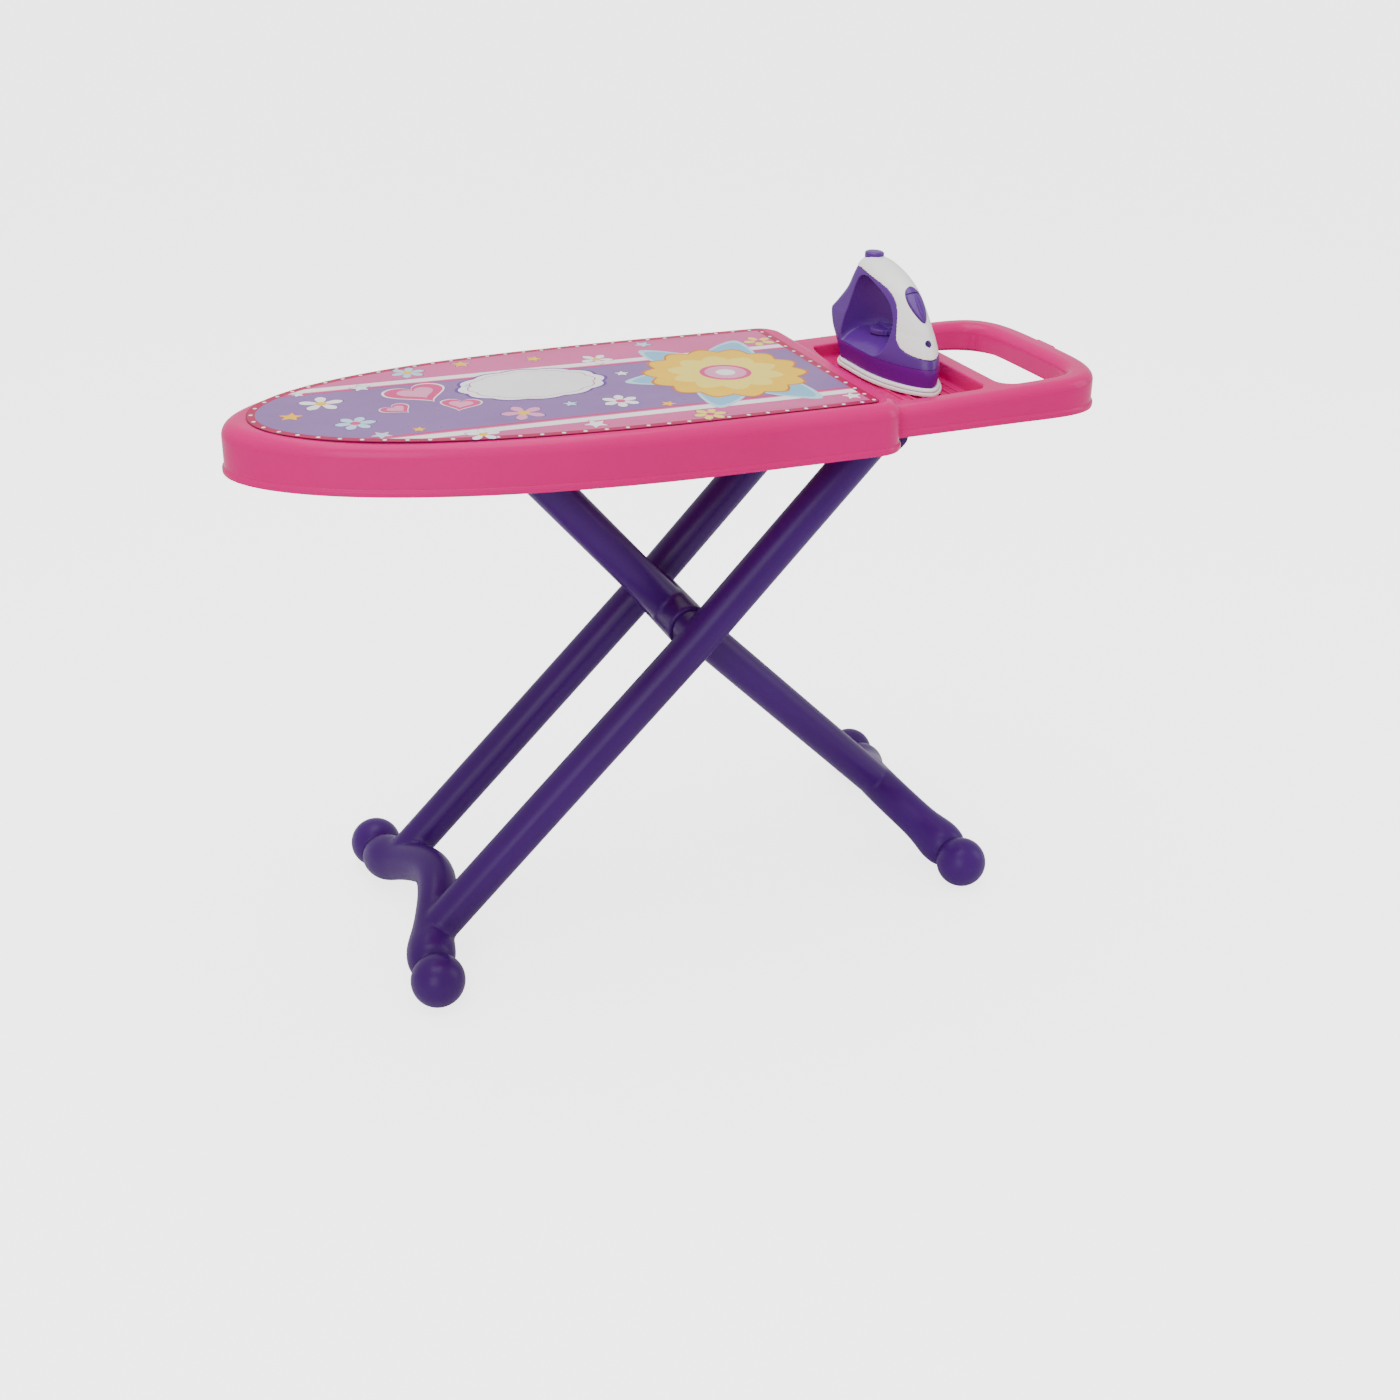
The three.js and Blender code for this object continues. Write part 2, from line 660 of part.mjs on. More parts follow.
function footBar(footX) {
  const { foot, up } = legDirection(footX);
  const normal = new THREE.Vector3().crossVectors(up, upright);
  const end = footWidth / 2 - ballCut - seatGap;
  const reach = end + overrun;
  const places = Array.from({ length: footStations + 1 }, (_, k) => reach * ((2 * k) / footStations - 1));
  const centres = places.map((y) => foot.clone().addScaledVector(up, archAt(y)).setY(y));
  const bar = sweep(centres, places.map(footRadiusAt), normal)
    .trimByPlane([0, 1, 0], -end).trimByPlane([0, -1, 0], -end);
  const stubLength = ballCut + neckLength;
  const stubs = [-1, 1].map((side) => barAlong('y', foot.clone()
    .setY((side * (footWidth - stubLength)) / 2), stubRadius, stubLength, smallSides));
  return joined([bar, ...stubs]);
}

function ballFoot(footX, side) {
  const centre = new THREE.Vector3(footX, (side * footWidth) / 2, footHeight);
  const ball = solid(new THREE.SphereGeometry(ballRadius, roundSides, roundSides / 2)
    .rotateX(quarterTurn).translate(centre.x, centre.y, centre.z));
  const inner = centre.y - side * ballCut;
  const face = block(footX - ballRadius, footX + ballRadius, Math.min(inner, inner - side * ballRadius),
    Math.max(inner, inner - side * ballRadius), -ballRadius, 2 * ballRadius);
  const floorCut = block(footX - ballRadius, footX + ballRadius, centre.y - ballRadius,
    centre.y + ballRadius, -ballRadius, 0);
  const bore = barAlong('y', new THREE.Vector3(footX, inner, footHeight), stubRadius + seatGap,
    2 * (ballCut + seatGap), smallSides);
  return cut(ball, [face, floorCut, bore]);
}

const outerFootX = noseTipX + footInset;
const innerFootX = handleEndX - footInset;
const outerTubeY = tubeSpacing / 2;
const bossFaceY = outerTubeY - tubeRadius - bossHeight;
const barrelHalf = bossFaceY - washerThickness - 2 * seatGap;
const rodHalf = outerTubeY - rodInset;

// Outer frame: two tubes with eyes at the top, bosses at the crossing and the foot bar
function outerFrame() {
  const { foot, up } = legDirection(outerFootX);
  const pieces = [footBar(outerFootX)];
  for (const side of [-1, 1]) {
    const y = side * outerTubeY;
    const low = foot.clone().addScaledVector(up, archAt(y)).setY(y);
    const tube = sweep([low, crossing.clone().setY(y), hinge.clone().setY(y)],
      [tubeRadius, tubeRadius, tubeRadius], upright);
    const eye = barAlong('y', hinge.clone().setY(y), hingeEyeRadius, hingeEyeWidth);
    const boss = barAlong('y', crossing.clone().setY((side * (bossFaceY + outerTubeY)) / 2), bossRadius,
      outerTubeY - bossFaceY);
    pieces.push(tube, eye, boss);
  }
  const hingeBore = barAlong('y', hinge, hingeBarRadius + seatGap, hingeBarLength);
  const rodBore = barAlong('y', crossing, rodRadius + seatGap, 2 * (rodHalf + seatGap), smallSides);
  return cut(joined(pieces), [hingeBore, rodBore]);
}

place('outer_leg_frame', outerFrame(), purple);
place('outer_top_bar', barAlong('y', hinge, hingeBarRadius, hingeBarLength), purple);
place('pivot_rod', barAlong('y', crossing, rodRadius, 2 * rodHalf, smallSides), steel);
for (const [name, side] of [['pivot_washer_front', -1], ['pivot_washer_back', 1]]) {
  const centre = crossing.clone().setY(side * (barrelHalf + seatGap + washerThickness / 2));
  place(name, barAlong('y', centre, washerRadius, washerThickness)
    .subtract(barAlong('y', centre, rodRadius + seatGap, washerThickness + overrun, smallSides)), white);
}

// Inner leg: one tube with the cross barrel, the foot bar and a narrower eye at the top
function innerLeg() {
  const { foot, up } = legDirection(innerFootX);
  const low = foot.clone().addScaledVector(up, archHeight);
  const tube = sweep([low, crossing, crossing.clone().lerp(slide, slideTaperShare), slide],
    [tubeRadius, tubeRadius, tubeRadius, slideTubeRadius], upright);
  const barrel = barAlong('y', crossing, barrelRadius, 2 * barrelHalf);
  const eye = barAlong('y', slide, slideEyeRadius, slideEyeWidth);
  const rodBore = barAlong('y', crossing, rodRadius + seatGap, 2 * barrelHalf + overrun, smallSides);
  const slideBore = barAlong('y', slide, slideBarRadius + seatGap, slideEyeWidth + overrun);
  return cut(joined([footBar(innerFootX), tube, barrel, eye]), [rodBore, slideBore]);
}

place('inner_leg', innerLeg(), purple);
place('inner_top_bar', barAlong('y', slide, slideBarRadius, slideBarLength)
  .add(barAlong('y', slide, spigotRadius, slideBarLength + 2 * (seatGap + sliderWidth), smallSides)),
purple);
for (const [name, side] of [['track_slider_front', -1], ['track_slider_back', 1]]) {
  const centre = slide.clone().setY(side * (slideBarLength / 2 + seatGap + sliderWidth / 2));
  place(name, barAlong('y', centre, sliderRadius, sliderWidth)
    .subtract(barAlong('y', centre, spigotRadius + seatGap, sliderWidth + overrun, smallSides)), white);
}
for (const [frameName, footX] of [['outer', outerFootX], ['inner', innerFootX]]) {
  place(`ball_foot_${frameName}_front`, ballFoot(footX, -1), purple);
  place(`ball_foot_${frameName}_back`, ballFoot(footX, 1), purple);
}

// Toy iron: the heel points along +Y and the nose along -Y
const ironBase = recessFloor + floorRibHeight + seatGap;
const ironNose = ironY - ironLength / 2;
const ironHeel = ironY + ironLength / 2;
const soleTop = ironBase + soleThickness;
const trimTop = soleTop + seatGap + trimThickness;
const skirtTop = trimTop + seatGap + skirtHeight;
const ironPoint = ([along, up]) => [ironNose + along * ironLength, ironBase + up * ironHeight];

// Sections from the skirt up, each [height, heel's setback, nose's setback, width, heel's corners], as
// shares of the iron's height, length, length and width and of the section's half width
const ironSectionShares = [
  [0.055, 0.034, 0.007, 0.955, 0.35],
  [0.23, 0.014, 0.041, 0.93, 0.28],
  [0.32, 0, 0.082, 0.9, 0.22],
  [0.41, 0, 0.122, 0.85, 0.22],
  [0.49, 0.003, 0.15, 0.8, 0.4],
  [0.57, 0.018, 0.179, 0.735, 0.6],
  [0.7, 0.048, 0.256, 0.64, 0.75],
  [0.81, 0.074, 0.345, 0.57, 0.75],
  [0.9, 0.1, 0.449, 0.475, 0.75],
  [0.965, 0.14, 0.596, 0.34, 0.75],
  [1, 0.19, 0.7, 0.17, 0.75],
];

// Lower edge of the handle cover on the flank, from the heel to the nose, and the field above it
const coverEdgeShares = [
  [1.075, 0.883], [0.821, 0.911], [0.712, 0.889], [0.584, 0.856], [0.463, 0.806], [0.389, 0.728],
  [0.348, 0.628], [0.331, 0.506], [0.308, 0.383], [0.24, 0.328], [0.119, 0.3], [-0.14, 0.272],
];
const coverFieldShares = [[-0.14, 1.3], [1.075, 1.3]];

// Opening under the handle: up the heel's column, forwards below the handle, down and back on the deck
const openingShares = [
  [0.814, 0.383], [0.794, 0.594], [0.767, 0.772], [0.737, 0.828], [0.685, 0.839], [0.622, 0.822],
  [0.524, 0.767], [0.449, 0.678], [0.409, 0.561], [0.399, 0.461], [0.422, 0.383], [0.47, 0.35],
  [0.765, 0.35],
];
const openingTopShare = 0.839;
const openingDeckShare = 0.35;

// How far the opening's stations lie from the middle, of half the iron's width, and their share of
// the scoop
const scoopShares = [[0, 0], [0.3, 0.02], [0.5, 0.14], [0.7, 0.36], [0.9, 0.68], [1.15, 1]];

function ironSection(heel, nose, half, height, cornerShare) {
  return bullet({
    tip: nose, shoulder: heel - (heel - nose) * ironHeelShare, end: heel, half,
    corner: half * cornerShare, along: ironPowerAlong, across: ironPowerAcross,
    steps: ironNoseSteps,
  }).map(([y, x]) => new THREE.Vector3(ironX + x, y, height));
}

function ironForm(grow) {
  return loft(ironSectionShares.map(([up, heelBack, noseBack, width, cornerShare]) => ironSection(
    ironHeel - heelBack * ironLength + grow, ironNose + noseBack * ironLength - grow,
    (width * ironWidth) / 2 + grow, ironBase + up * ironHeight + grow * up ** 4, cornerShare)));
}

function coverField(grow) {
  const outline = [...coverEdgeShares, ...coverFieldShares].map(ironPoint).reverse();
  return sidePrism(inset(outline, -grow), ironX - ironWidth, ironX + ironWidth);
}

function openingForm() {
  const deck = ironPoint([0, openingDeckShare])[1];
  const top = ironPoint([0, openingTopShare])[1];
  const station = ([out, drop], side) => openingShares.map(ironPoint).map(([y, z]) => {
    const lowness = (top - z) / (top - deck);
    return new THREE.Vector3(ironX + (side * out * ironWidth) / 2, y,
      z - openingScoop * drop * lowness ** 2);
  });
  const near = scoopShares.slice(1).reverse().map((share) => station(share, -1));
  return loft([...near, ...scoopShares.map((share) => station(share, 1))]);
}

// Height of the iron's ridge line at a place along it
function ridgeAt(y) {
  const ridge = ironSectionShares.map(([up, , noseBack]) => [
    ironNose + noseBack * ironLength, ironBase + up * ironHeight]);
  const above = ridge.findIndex(([ringY]) => ringY > y);
  if (above < 1) {
    return ironBase + ironHeight;
  }
  const [y0, z0] = ridge[above - 1];
  const [y1, z1] = ridge[above];
  return z0 + ((z1 - z0) * (y - y0)) / (y1 - y0);
}

// An oval post that is square to a slope leaning forwards by some degrees
function ovalPost(y, z, tilt, length, width, low, high) {
  const geometry = new THREE.CylinderGeometry(1, 1, high - low, roundSides);
  geometry.rotateX(quarterTurn).translate(0, 0, (low + high) / 2).scale(width / 2, length / 2, 1);
  return solid(geometry.rotateX(tilt * degree).translate(ironX, y, z));
}

const shellForm = ironForm(0);
const coreForm = ironForm(-coverThickness);
const looseCoreForm = ironForm(-coverThickness - seatGap);
const ironOpening = openingForm();
const deckHeight = ironPoint([0, openingDeckShare])[1];

// Base screws at [x, y]
const baseScrews = [[heelScrewPlace, heelScrewY], [noseScrewPlace, noseScrewY]].flatMap(([dx, y]) => [
  [ironX - dx, y], [ironX + dx, y]]);
const screwTopZ = skirtTop + seatGap + baseScrewGrip;
const baseHoles = baseScrews.map(([x, y]) => barAlong('z', new THREE.Vector3(x, y,
  (ironBase + screwTopZ) / 2), baseScrewRadius + seatGap, screwTopZ - ironBase + 2 * seatGap,
screwSides));

function soleLayer(insetBy, levels) {
  const outline = bullet({
    tip: ironNose, shoulder: ironHeel - soleHeelInset - ironLength * ironHeelShare,
    end: ironHeel - soleHeelInset, half: ironWidth / 2, corner: (ironWidth / 2) * soleCornerShare,
    along: ironPowerAlong, across: ironPowerAcross, steps: ironNoseSteps,
  });
  const across = stack(outline, levels.map(([distance, height]) => [distance + insetBy, height]));
  return across.rotate([0, 0, 90]).translate([ironX, 0, 0]);
}

const headPockets = baseScrews.map(([x, y]) => barAlong('z', new THREE.Vector3(x, y, ironBase),
  baseScrewHeadRadius + seatGap, 2 * (baseScrewHeadHeight + 2 * seatGap), screwSides));
place('iron_sole_plate', cut(soleLayer(0, [[soleEdge, ironBase], [0, ironBase + soleEdge],
  [0, soleTop]]), [...baseHoles, ...headPockets]), white);
place('iron_sole_trim', cut(soleLayer(trimInset, [[0, soleTop + seatGap], [0, trimTop]]), baseHoles),
  grey);
place('iron_skirt', cut(shellForm, [
  block(ironX - ironWidth, ironX + ironWidth, ironNose - ironLength, ironHeel + ironLength,
    skirtTop, ironBase + 2 * ironHeight),
  block(ironX - ironWidth, ironX + ironWidth, ironNose - ironLength, ironHeel + ironLength,
    ironBase - ironHeight, trimTop + seatGap), ...baseHoles]), magenta);
placeEach('iron_base_screw', baseScrews.map(([x, y]) => {
  const low = ironBase + seatGap;
  const head = barAlong('z', new THREE.Vector3(x, y, low + baseScrewHeadHeight / 2),
    baseScrewHeadRadius, baseScrewHeadHeight, screwSides);
  const shank = barAlong('z', new THREE.Vector3(x, y, (low + screwTopZ) / 2), baseScrewRadius,
    screwTopZ - low, screwSides);
  return head.add(shank);
}), steel);

// Buttons on the cover, each an oval post through the cover with a pocket in the body below it
const buttonTopZ = ridgeAt(buttonY);
const buttonPost = (grow, low, high) => ovalPost(buttonY, buttonTopZ, 0, buttonLength + 2 * grow,
  buttonWidth + 2 * grow, low, high);
const switchZ = ridgeAt(switchY);
const switchPost = (grow, low, high) => ovalPost(switchY, switchZ, switchAngle, switchLength + 2 * grow,
  switchWidth + 2 * grow, low, high);
const lampPost = (grow, low, high) => ovalPost(lampY, ridgeAt(lampY), lampAngle, 2 * (lampRadius + grow),
  2 * (lampRadius + grow), low, high);
const postReach = coverThickness * 4;
const coverWells = [buttonPost, switchPost].map((post) => post(seatGap, -postReach, postReach));
coverWells.push(lampPost(seatGap, -postReach, postReach));
const pocketForm = ironForm(-coverThickness - switchTravel - 3 * seatGap);
const buttonPocket = buttonPost(seatGap, -coverThickness - buttonTravel - 3 * seatGap, postReach);
const switchPocket = switchPost(seatGap, -postReach * 2, postReach).subtract(pocketForm);
const dialBore = barAlong('z', new THREE.Vector3(ironX, dialY, deckHeight - dialStemLength / 2),
  dialStemRadius + seatGap, dialStemLength + 2 * seatGap, smallSides);

const coverSolid = cut(ironForm(coverProud).intersect(coverField(0)), [coreForm, ironOpening,
  ...coverWells]);
place('iron_handle_cover', coverSolid, white);

const bodySolid = cut(shellForm, [
  coverField(seatGap).subtract(looseCoreForm), ironOpening,
  block(ironX - ironWidth, ironX + ironWidth, ironNose - ironLength, ironHeel + ironLength,
    ironBase - ironHeight, skirtTop + seatGap),
  buttonPocket, switchPocket, dialBore, ...baseHoles]);
place('iron_body_left', bodySolid.trimByPlane([-1, 0, 0], -(ironX - seatGap / 2)), lilac);
place('iron_body_right', bodySolid.trimByPlane([1, 0, 0], ironX + seatGap / 2), lilac);

// The spray button's domed top as rings, each with its share of the button's oval and of the dome
const buttonDomeShares = [[1, 0], [0.86, 0.75], [0.55, 1]];
const buttonRings = [[1, -coverThickness], ...buttonDomeShares.map(([size, rise]) => [
  size, buttonProud - buttonDome + buttonDome * rise])];
place('iron_spray_button', loft(buttonRings.map(([size, height]) => Array.from({ length: roundSides }, (_, k) => {
  const angle = (2 * Math.PI * k) / roundSides;
  return new THREE.Vector3(ironX + (size * buttonWidth * Math.sin(angle)) / 2,
    buttonY + (size * buttonLength * Math.cos(angle)) / 2, buttonTopZ + height);
}))), lilac);

const switchPad = ironForm(switchProud).intersect(switchPost(0, -postReach * 2, postReach));
const switchRidge = ironForm(switchProud + switchRidgeProud).intersect(ovalPost(switchY, switchZ,
  switchAngle, switchLength * switchRidgeShare, switchWidth * switchRidgeShare, -postReach * 2,
  postReach));
place('iron_steam_button', switchPad.add(switchRidge).subtract(coreForm), lilac);
place('iron_nose_lamp', ironForm(lampProud + coverProud).intersect(lampPost(0, -postReach, postReach))
  .subtract(coreForm), purple);

const dial = new THREE.Vector3(ironX, dialY, deckHeight);
place('iron_dial', joined([
  barAlong('z', dial.clone().setZ(deckHeight + seatGap + dialHeight / 2), dialRadius, dialHeight),
  barAlong('z', dial.clone().setZ(deckHeight + seatGap - dialStemLength / 2 + dialHeight / 2),
    dialStemRadius, dialStemLength, smallSides),
  block(ironX - dialRidgeWidth / 2, ironX + dialRidgeWidth / 2, dialY - dialRadius + dialRidgeWidth / 2,
    dialY + dialRadius - dialRidgeWidth / 2, deckHeight + dialHeight / 2,
    deckHeight + seatGap + dialHeight + dialRidgeHeight),
]), lilac);

export default group;
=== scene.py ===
"""Looks for a toy ironing board with a toy iron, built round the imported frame. Sizes and places of the
object are in millimetres, and are turned into metres where a mesh is made."""
import math

import bmesh
import bpy
from mathutils import Matrix, Vector


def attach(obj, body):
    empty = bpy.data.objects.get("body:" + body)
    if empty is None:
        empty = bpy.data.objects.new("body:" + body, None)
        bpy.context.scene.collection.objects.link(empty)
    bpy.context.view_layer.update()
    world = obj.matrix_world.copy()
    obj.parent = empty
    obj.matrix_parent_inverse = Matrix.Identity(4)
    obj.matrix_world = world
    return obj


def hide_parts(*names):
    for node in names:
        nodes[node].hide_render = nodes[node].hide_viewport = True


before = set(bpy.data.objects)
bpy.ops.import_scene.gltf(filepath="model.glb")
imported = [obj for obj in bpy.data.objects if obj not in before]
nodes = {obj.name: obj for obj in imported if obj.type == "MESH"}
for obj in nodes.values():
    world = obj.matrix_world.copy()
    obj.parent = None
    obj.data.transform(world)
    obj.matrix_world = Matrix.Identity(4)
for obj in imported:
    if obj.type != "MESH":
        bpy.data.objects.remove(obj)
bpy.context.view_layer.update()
scene = bpy.context.scene
MM = 0.001

# Camera: the photograph's own place, in metres and degrees, fitted to the printed sizes
CAMERA_PLACE = (-0.48373, -1.19083, 0.85086)
AZIMUTH, ELEVATION, ROLL = -23.3, 27.555, 1.304
FOCAL_PIXELS, PHOTO_WIDTH = 1652.2, 1400
SENSOR_WIDTH = 36
CLIP_START, CLIP_END = 0.05, 50


def add_camera():
    azimuth, elevation, roll = (math.radians(a) for a in (AZIMUTH, ELEVATION, ROLL))
    back = Vector((
        math.sin(azimuth) * math.cos(elevation),
        -math.cos(azimuth) * math.cos(elevation),
        math.sin(elevation),
    ))
    level = Vector((math.cos(azimuth), math.sin(azimuth), 0))
    above = back.cross(level)
    right = level * math.cos(roll) + above * math.sin(roll)
    up = above * math.cos(roll) - level * math.sin(roll)
    data = bpy.data.cameras.new("camera")
    data.sensor_width = SENSOR_WIDTH
    data.lens = SENSOR_WIDTH * (FOCAL_PIXELS / PHOTO_WIDTH)
    data.clip_start, data.clip_end = CLIP_START, CLIP_END
    camera = bpy.data.objects.new("camera", data)
    scene.collection.objects.link(camera)
    turn = Matrix((right, up, back)).transposed()
    camera.matrix_world = Matrix.Translation(CAMERA_PLACE) @ turn.to_4x4()
    scene.camera = camera


# Studio: each light's place, target, width and height in metres, and its power in watts
LIGHTS = {
    "overhead": ((-0.25, 0.1, 1.9), (0, 0, 0.3), (1.6, 1.2), 22),
    "front": ((-1.3, -1.7, 1.2), (0, 0, 0.4), (1.0, 1.4), 14.5),
    "side": ((1.9, -0.6, 1.0), (0.1, 0, 0.35), (0.8, 1.4), 7),
}
SKY_STRENGTH, SKY_GLOW = 0.88, 4
FLOOR_HALF = 20
FLOOR_TONE, FLOOR_ROUGHNESS, FLOOR_GLOW = 0.9, 0.9, 2.7


def add_area(name, place, target, size, power):
    data = bpy.data.lights.new(name, "AREA")
    data.shape = "RECTANGLE"
    data.size, data.size_y = size
    data.energy = power
    light = bpy.data.objects.new(name, data)
    scene.collection.objects.link(light)
    light.location = place
    light.rotation_mode = "QUATERNION"
    light.rotation_quaternion = (Vector(target) - Vector(place)).to_track_quat("-Z", "Y")


def seen_only(tree, plain, strength):
    """Adds a glow to a plain shader that the camera sees and that lights nothing."""
    path = tree.nodes.new("ShaderNodeLightPath")
    glow = tree.nodes.new("ShaderNodeEmission")
    glow.inputs["Strength"].default_value = strength
    off = tree.nodes.new("ShaderNodeEmission")
    off.inputs["Strength"].default_value = 0
    chosen = tree.nodes.new("ShaderNodeMixShader")
    tree.links.new(path.outputs["Is Camera Ray"], chosen.inputs["Fac"])
    tree.links.new(off.outputs[0], chosen.inputs[1])
    tree.links.new(glow.outputs[0], chosen.inputs[2])
    both = tree.nodes.new("ShaderNodeAddShader")
    tree.links.new(plain, both.inputs[0])
    tree.links.new(chosen.outputs[0], both.inputs[1])
    end = next(n for n in tree.nodes if n.type in ("OUTPUT_WORLD", "OUTPUT_MATERIAL"))
    tree.links.new(both.outputs[0], end.inputs["Surface"])


def add_floor():
    mesh = bpy.data.meshes.new("floor")
    corners = [(-FLOOR_HALF, -FLOOR_HALF), (FLOOR_HALF, -FLOOR_HALF),
               (FLOOR_HALF, FLOOR_HALF), (-FLOOR_HALF, FLOOR_HALF)]
    mesh.from_pydata([(x, y, 0) for x, y in corners], [], [(0, 1, 2, 3)])
    floor = bpy.data.objects.new("floor", mesh)
    scene.collection.objects.link(floor)
    pale = bpy.data.materials.new("floor")
    pale.use_nodes = True
    shader = pale.node_tree.nodes["Principled BSDF"]
    shader.inputs["Base Color"].default_value = (FLOOR_TONE, FLOOR_TONE, FLOOR_TONE, 1)
    shader.inputs["Roughness"].default_value = FLOOR_ROUGHNESS
    seen_only(pale.node_tree, shader.outputs[0], FLOOR_GLOW)
    mesh.materials.append(pale)


def add_studio():
    world = bpy.data.worlds.new("studio")
    world.use_nodes = True
    sky = world.node_tree.nodes["Background"]
    sky.inputs["Color"].default_value = (1, 1, 1, 1)
    sky.inputs["Strength"].default_value = SKY_STRENGTH
    seen_only(world.node_tree, sky.outputs[0], SKY_GLOW)
    scene.world = world
    for name, light in LIGHTS.items():
        add_area(name, *light)
    add_floor()


# Materials
BUMP_STRENGTH = 0.3
MOTTLE_SCALE, GLOSS_SCALE, SKIN_SCALE = 6.0, 14, 900
FINE_SKIN, COARSE_SKIN = 0.000006, 0.00003    # height of the skin's grain, in metres
PLASTIC_IOR = 1.49


def srgb(red, green, blue):
    """A colour as a picture gives it, 0 to 255, as linear light."""
    def linear(value):
        share = value / 255
        return share / 12.92 if share <= 0.04045 else ((share + 0.055) / 1.055) ** 2.4
    return (linear(red), linear(green), linear(blue), 1)


class Amount:
    """A number that a material works out at each point."""

    def __init__(self, tree, socket):
        self.tree, self.socket = tree, socket

    def step(self, kind, other):
        node = self.tree.nodes.new("ShaderNodeMath")
        node.operation = kind
        self.tree.links.new(self.socket, node.inputs[0])
        if isinstance(other, Amount):
            self.tree.links.new(other.socket, node.inputs[1])
        else:
            node.inputs[1].default_value = other
        return Amount(self.tree, node.outputs[0])

    def __add__(self, other):
        return self.step("ADD", other)

    def __mul__(self, other):
        return self.step("MULTIPLY", other)

    def share(self, low, high):
        """0 at low, 1 at high and straight between them."""
        node = self.tree.nodes.new("ShaderNodeMapRange")
        self.tree.links.new(self.socket, node.inputs["Value"])
        node.inputs["From Min"].default_value = low
        node.inputs["From Max"].default_value = high
        return Amount(self.tree, node.outputs["Result"])


def mixed(tree, amount, first, second):
    """The first colour where the amount is 0, and the second where it is 1."""
    node = tree.nodes.new("ShaderNodeMix")
    node.data_type = "RGBA"
    tree.links.new(amount.socket, node.inputs["Factor"])
    for name, colour in (("A", first), ("B", second)):
        next(s for s in node.inputs if s.name == name and s.type == "RGBA").default_value = colour
    return next(s for s in node.outputs if s.type == "RGBA")


def noise(tree, scale, detail):
    place = tree.nodes.new("ShaderNodeTexCoord")
    node = tree.nodes.new("ShaderNodeTexNoise")
    node.inputs["Scale"].default_value = scale
    node.inputs["Detail"].default_value = detail
    tree.links.new(place.outputs["Object"], node.inputs["Vector"])
    return Amount(tree, node.outputs["Fac"])


def bumped(tree, shader, height, distance):
    node = tree.nodes.new("ShaderNodeBump")
    node.inputs["Strength"].default_value = BUMP_STRENGTH
    node.inputs["Distance"].default_value = distance
    tree.links.new(height.socket, node.inputs["Height"])
    tree.links.new(node.outputs["Normal"], shader.inputs["Normal"])


def plastic(name, colour, paler, roughness, specular, grain=FINE_SKIN):
    """Moulded plastic: a soft mottle in its colour, uneven gloss and a very fine skin."""
    material = bpy.data.materials.new(name)
    material.use_nodes = True
    tree = material.node_tree
    shader = tree.nodes["Principled BSDF"]
    cloud = noise(tree, MOTTLE_SCALE, 3).share(0.3, 0.75)
    tree.links.new(mixed(tree, cloud, srgb(*colour), srgb(*paler)), shader.inputs["Base Color"])
    gloss = noise(tree, GLOSS_SCALE, 2).share(0.25, 0.8) * 0.07 + (roughness - 0.03)
    tree.links.new(gloss.socket, shader.inputs["Roughness"])
    shader.inputs["IOR"].default_value = PLASTIC_IOR
    shader.inputs["Specular IOR Level"].default_value = specular
    bumped(tree, shader, noise(tree, SKIN_SCALE, 2), grain)
    return material


PINK = plastic("pink_plastic", (208, 0, 108), (216, 0, 118), 0.22, 0.15)
PURPLE = plastic("purple_plastic", (54, 5, 88), (64, 10, 106), 0.34, 0.22, COARSE_SKIN)
LILAC = plastic("lilac_plastic", (78, 26, 122), (88, 36, 136), 0.27, 0.35)
MAGENTA = plastic("magenta_plastic", (92, 0, 126), (102, 2, 136), 0.25, 0.3)
WHITE = plastic("white_plastic", (250, 249, 246), (253, 252, 250), 0.25, 0.4)
GREY = plastic("grey_plastic", (150, 148, 156), (166, 164, 172), 0.35, 0.5)


# Sizes and places of the whole
NOSE_TIP, HANDLE_END, STEP = -355, 355, 143
SHOULDER = 20                   # where the board's nose starts to round
BOARD_HALF, HANDLE_HALF, TRAY_HALF = 127.5, 107, 110
PRINT_TOP, SHELL_TOP, BOARD_BOTTOM, TRAY_BOTTOM = 470, 469.2, 431, 437
TRAY_START, TRAY_RISE, TRAY_LENGTH = 459.5, 8.5, 212
TRAY_SLOPE = TRAY_RISE / TRAY_LENGTH
WALL, TOP_WALL = 2.6, 2.8
GAP = 0.3                       # between pieces that touch
OVERRUN = 5                     # how far a cutting form passes the face that it cuts
BELOW = 420                     # under the board, where cutting forms start
WIDE = 130                      # past the board's sides
HINGE = Vector((158.4, 0, 430))
CROSSING = Vector((1.7, 0, 266.3))
SLIDE = Vector((-153.5, 0, 445))
OUTER_FOOT, INNER_FOOT = Vector((-245.5, 0, 21.9)), Vector((245.5, 0, 21.9))
ACROSS = Vector((0, 1, 0))
HALVINGS = 40                   # of the search for a point on a superellipse


def tray_top(x):
    return TRAY_START + (x - STEP) * TRAY_SLOPE


# Meshes and what is done to them
def linked(name, points, faces):
    """A new object whose faces are triangles that look outwards."""
    mesh = bpy.data.meshes.new(name)
    mesh.from_pydata([Vector(p) * MM for p in points], [], faces)
    work = bmesh.new()
    work.from_mesh(mesh)
    bmesh.ops.recalc_face_normals(work, faces=work.faces)
    bmesh.ops.triangulate(work, faces=work.faces)
    work.to_mesh(mesh)
    work.free()
    made = bpy.data.objects.new(name, mesh)
    scene.collection.objects.link(made)
    return made


def skin(name, rings):
    """A closed skin through rings of equal count."""
    count = len(rings[0])
    faces = []
    for r in range(len(rings) - 1):
        for i in range(count):
            a, b = r * count + i, r * count + (i + 1) % count
            faces.append((a, b, b + count, a + count))
    last = (len(rings) - 1) * count
    faces += [tuple(reversed(range(count))), tuple(range(last, last + count))]
    return linked(name, [p for ring in rings for p in ring], faces)


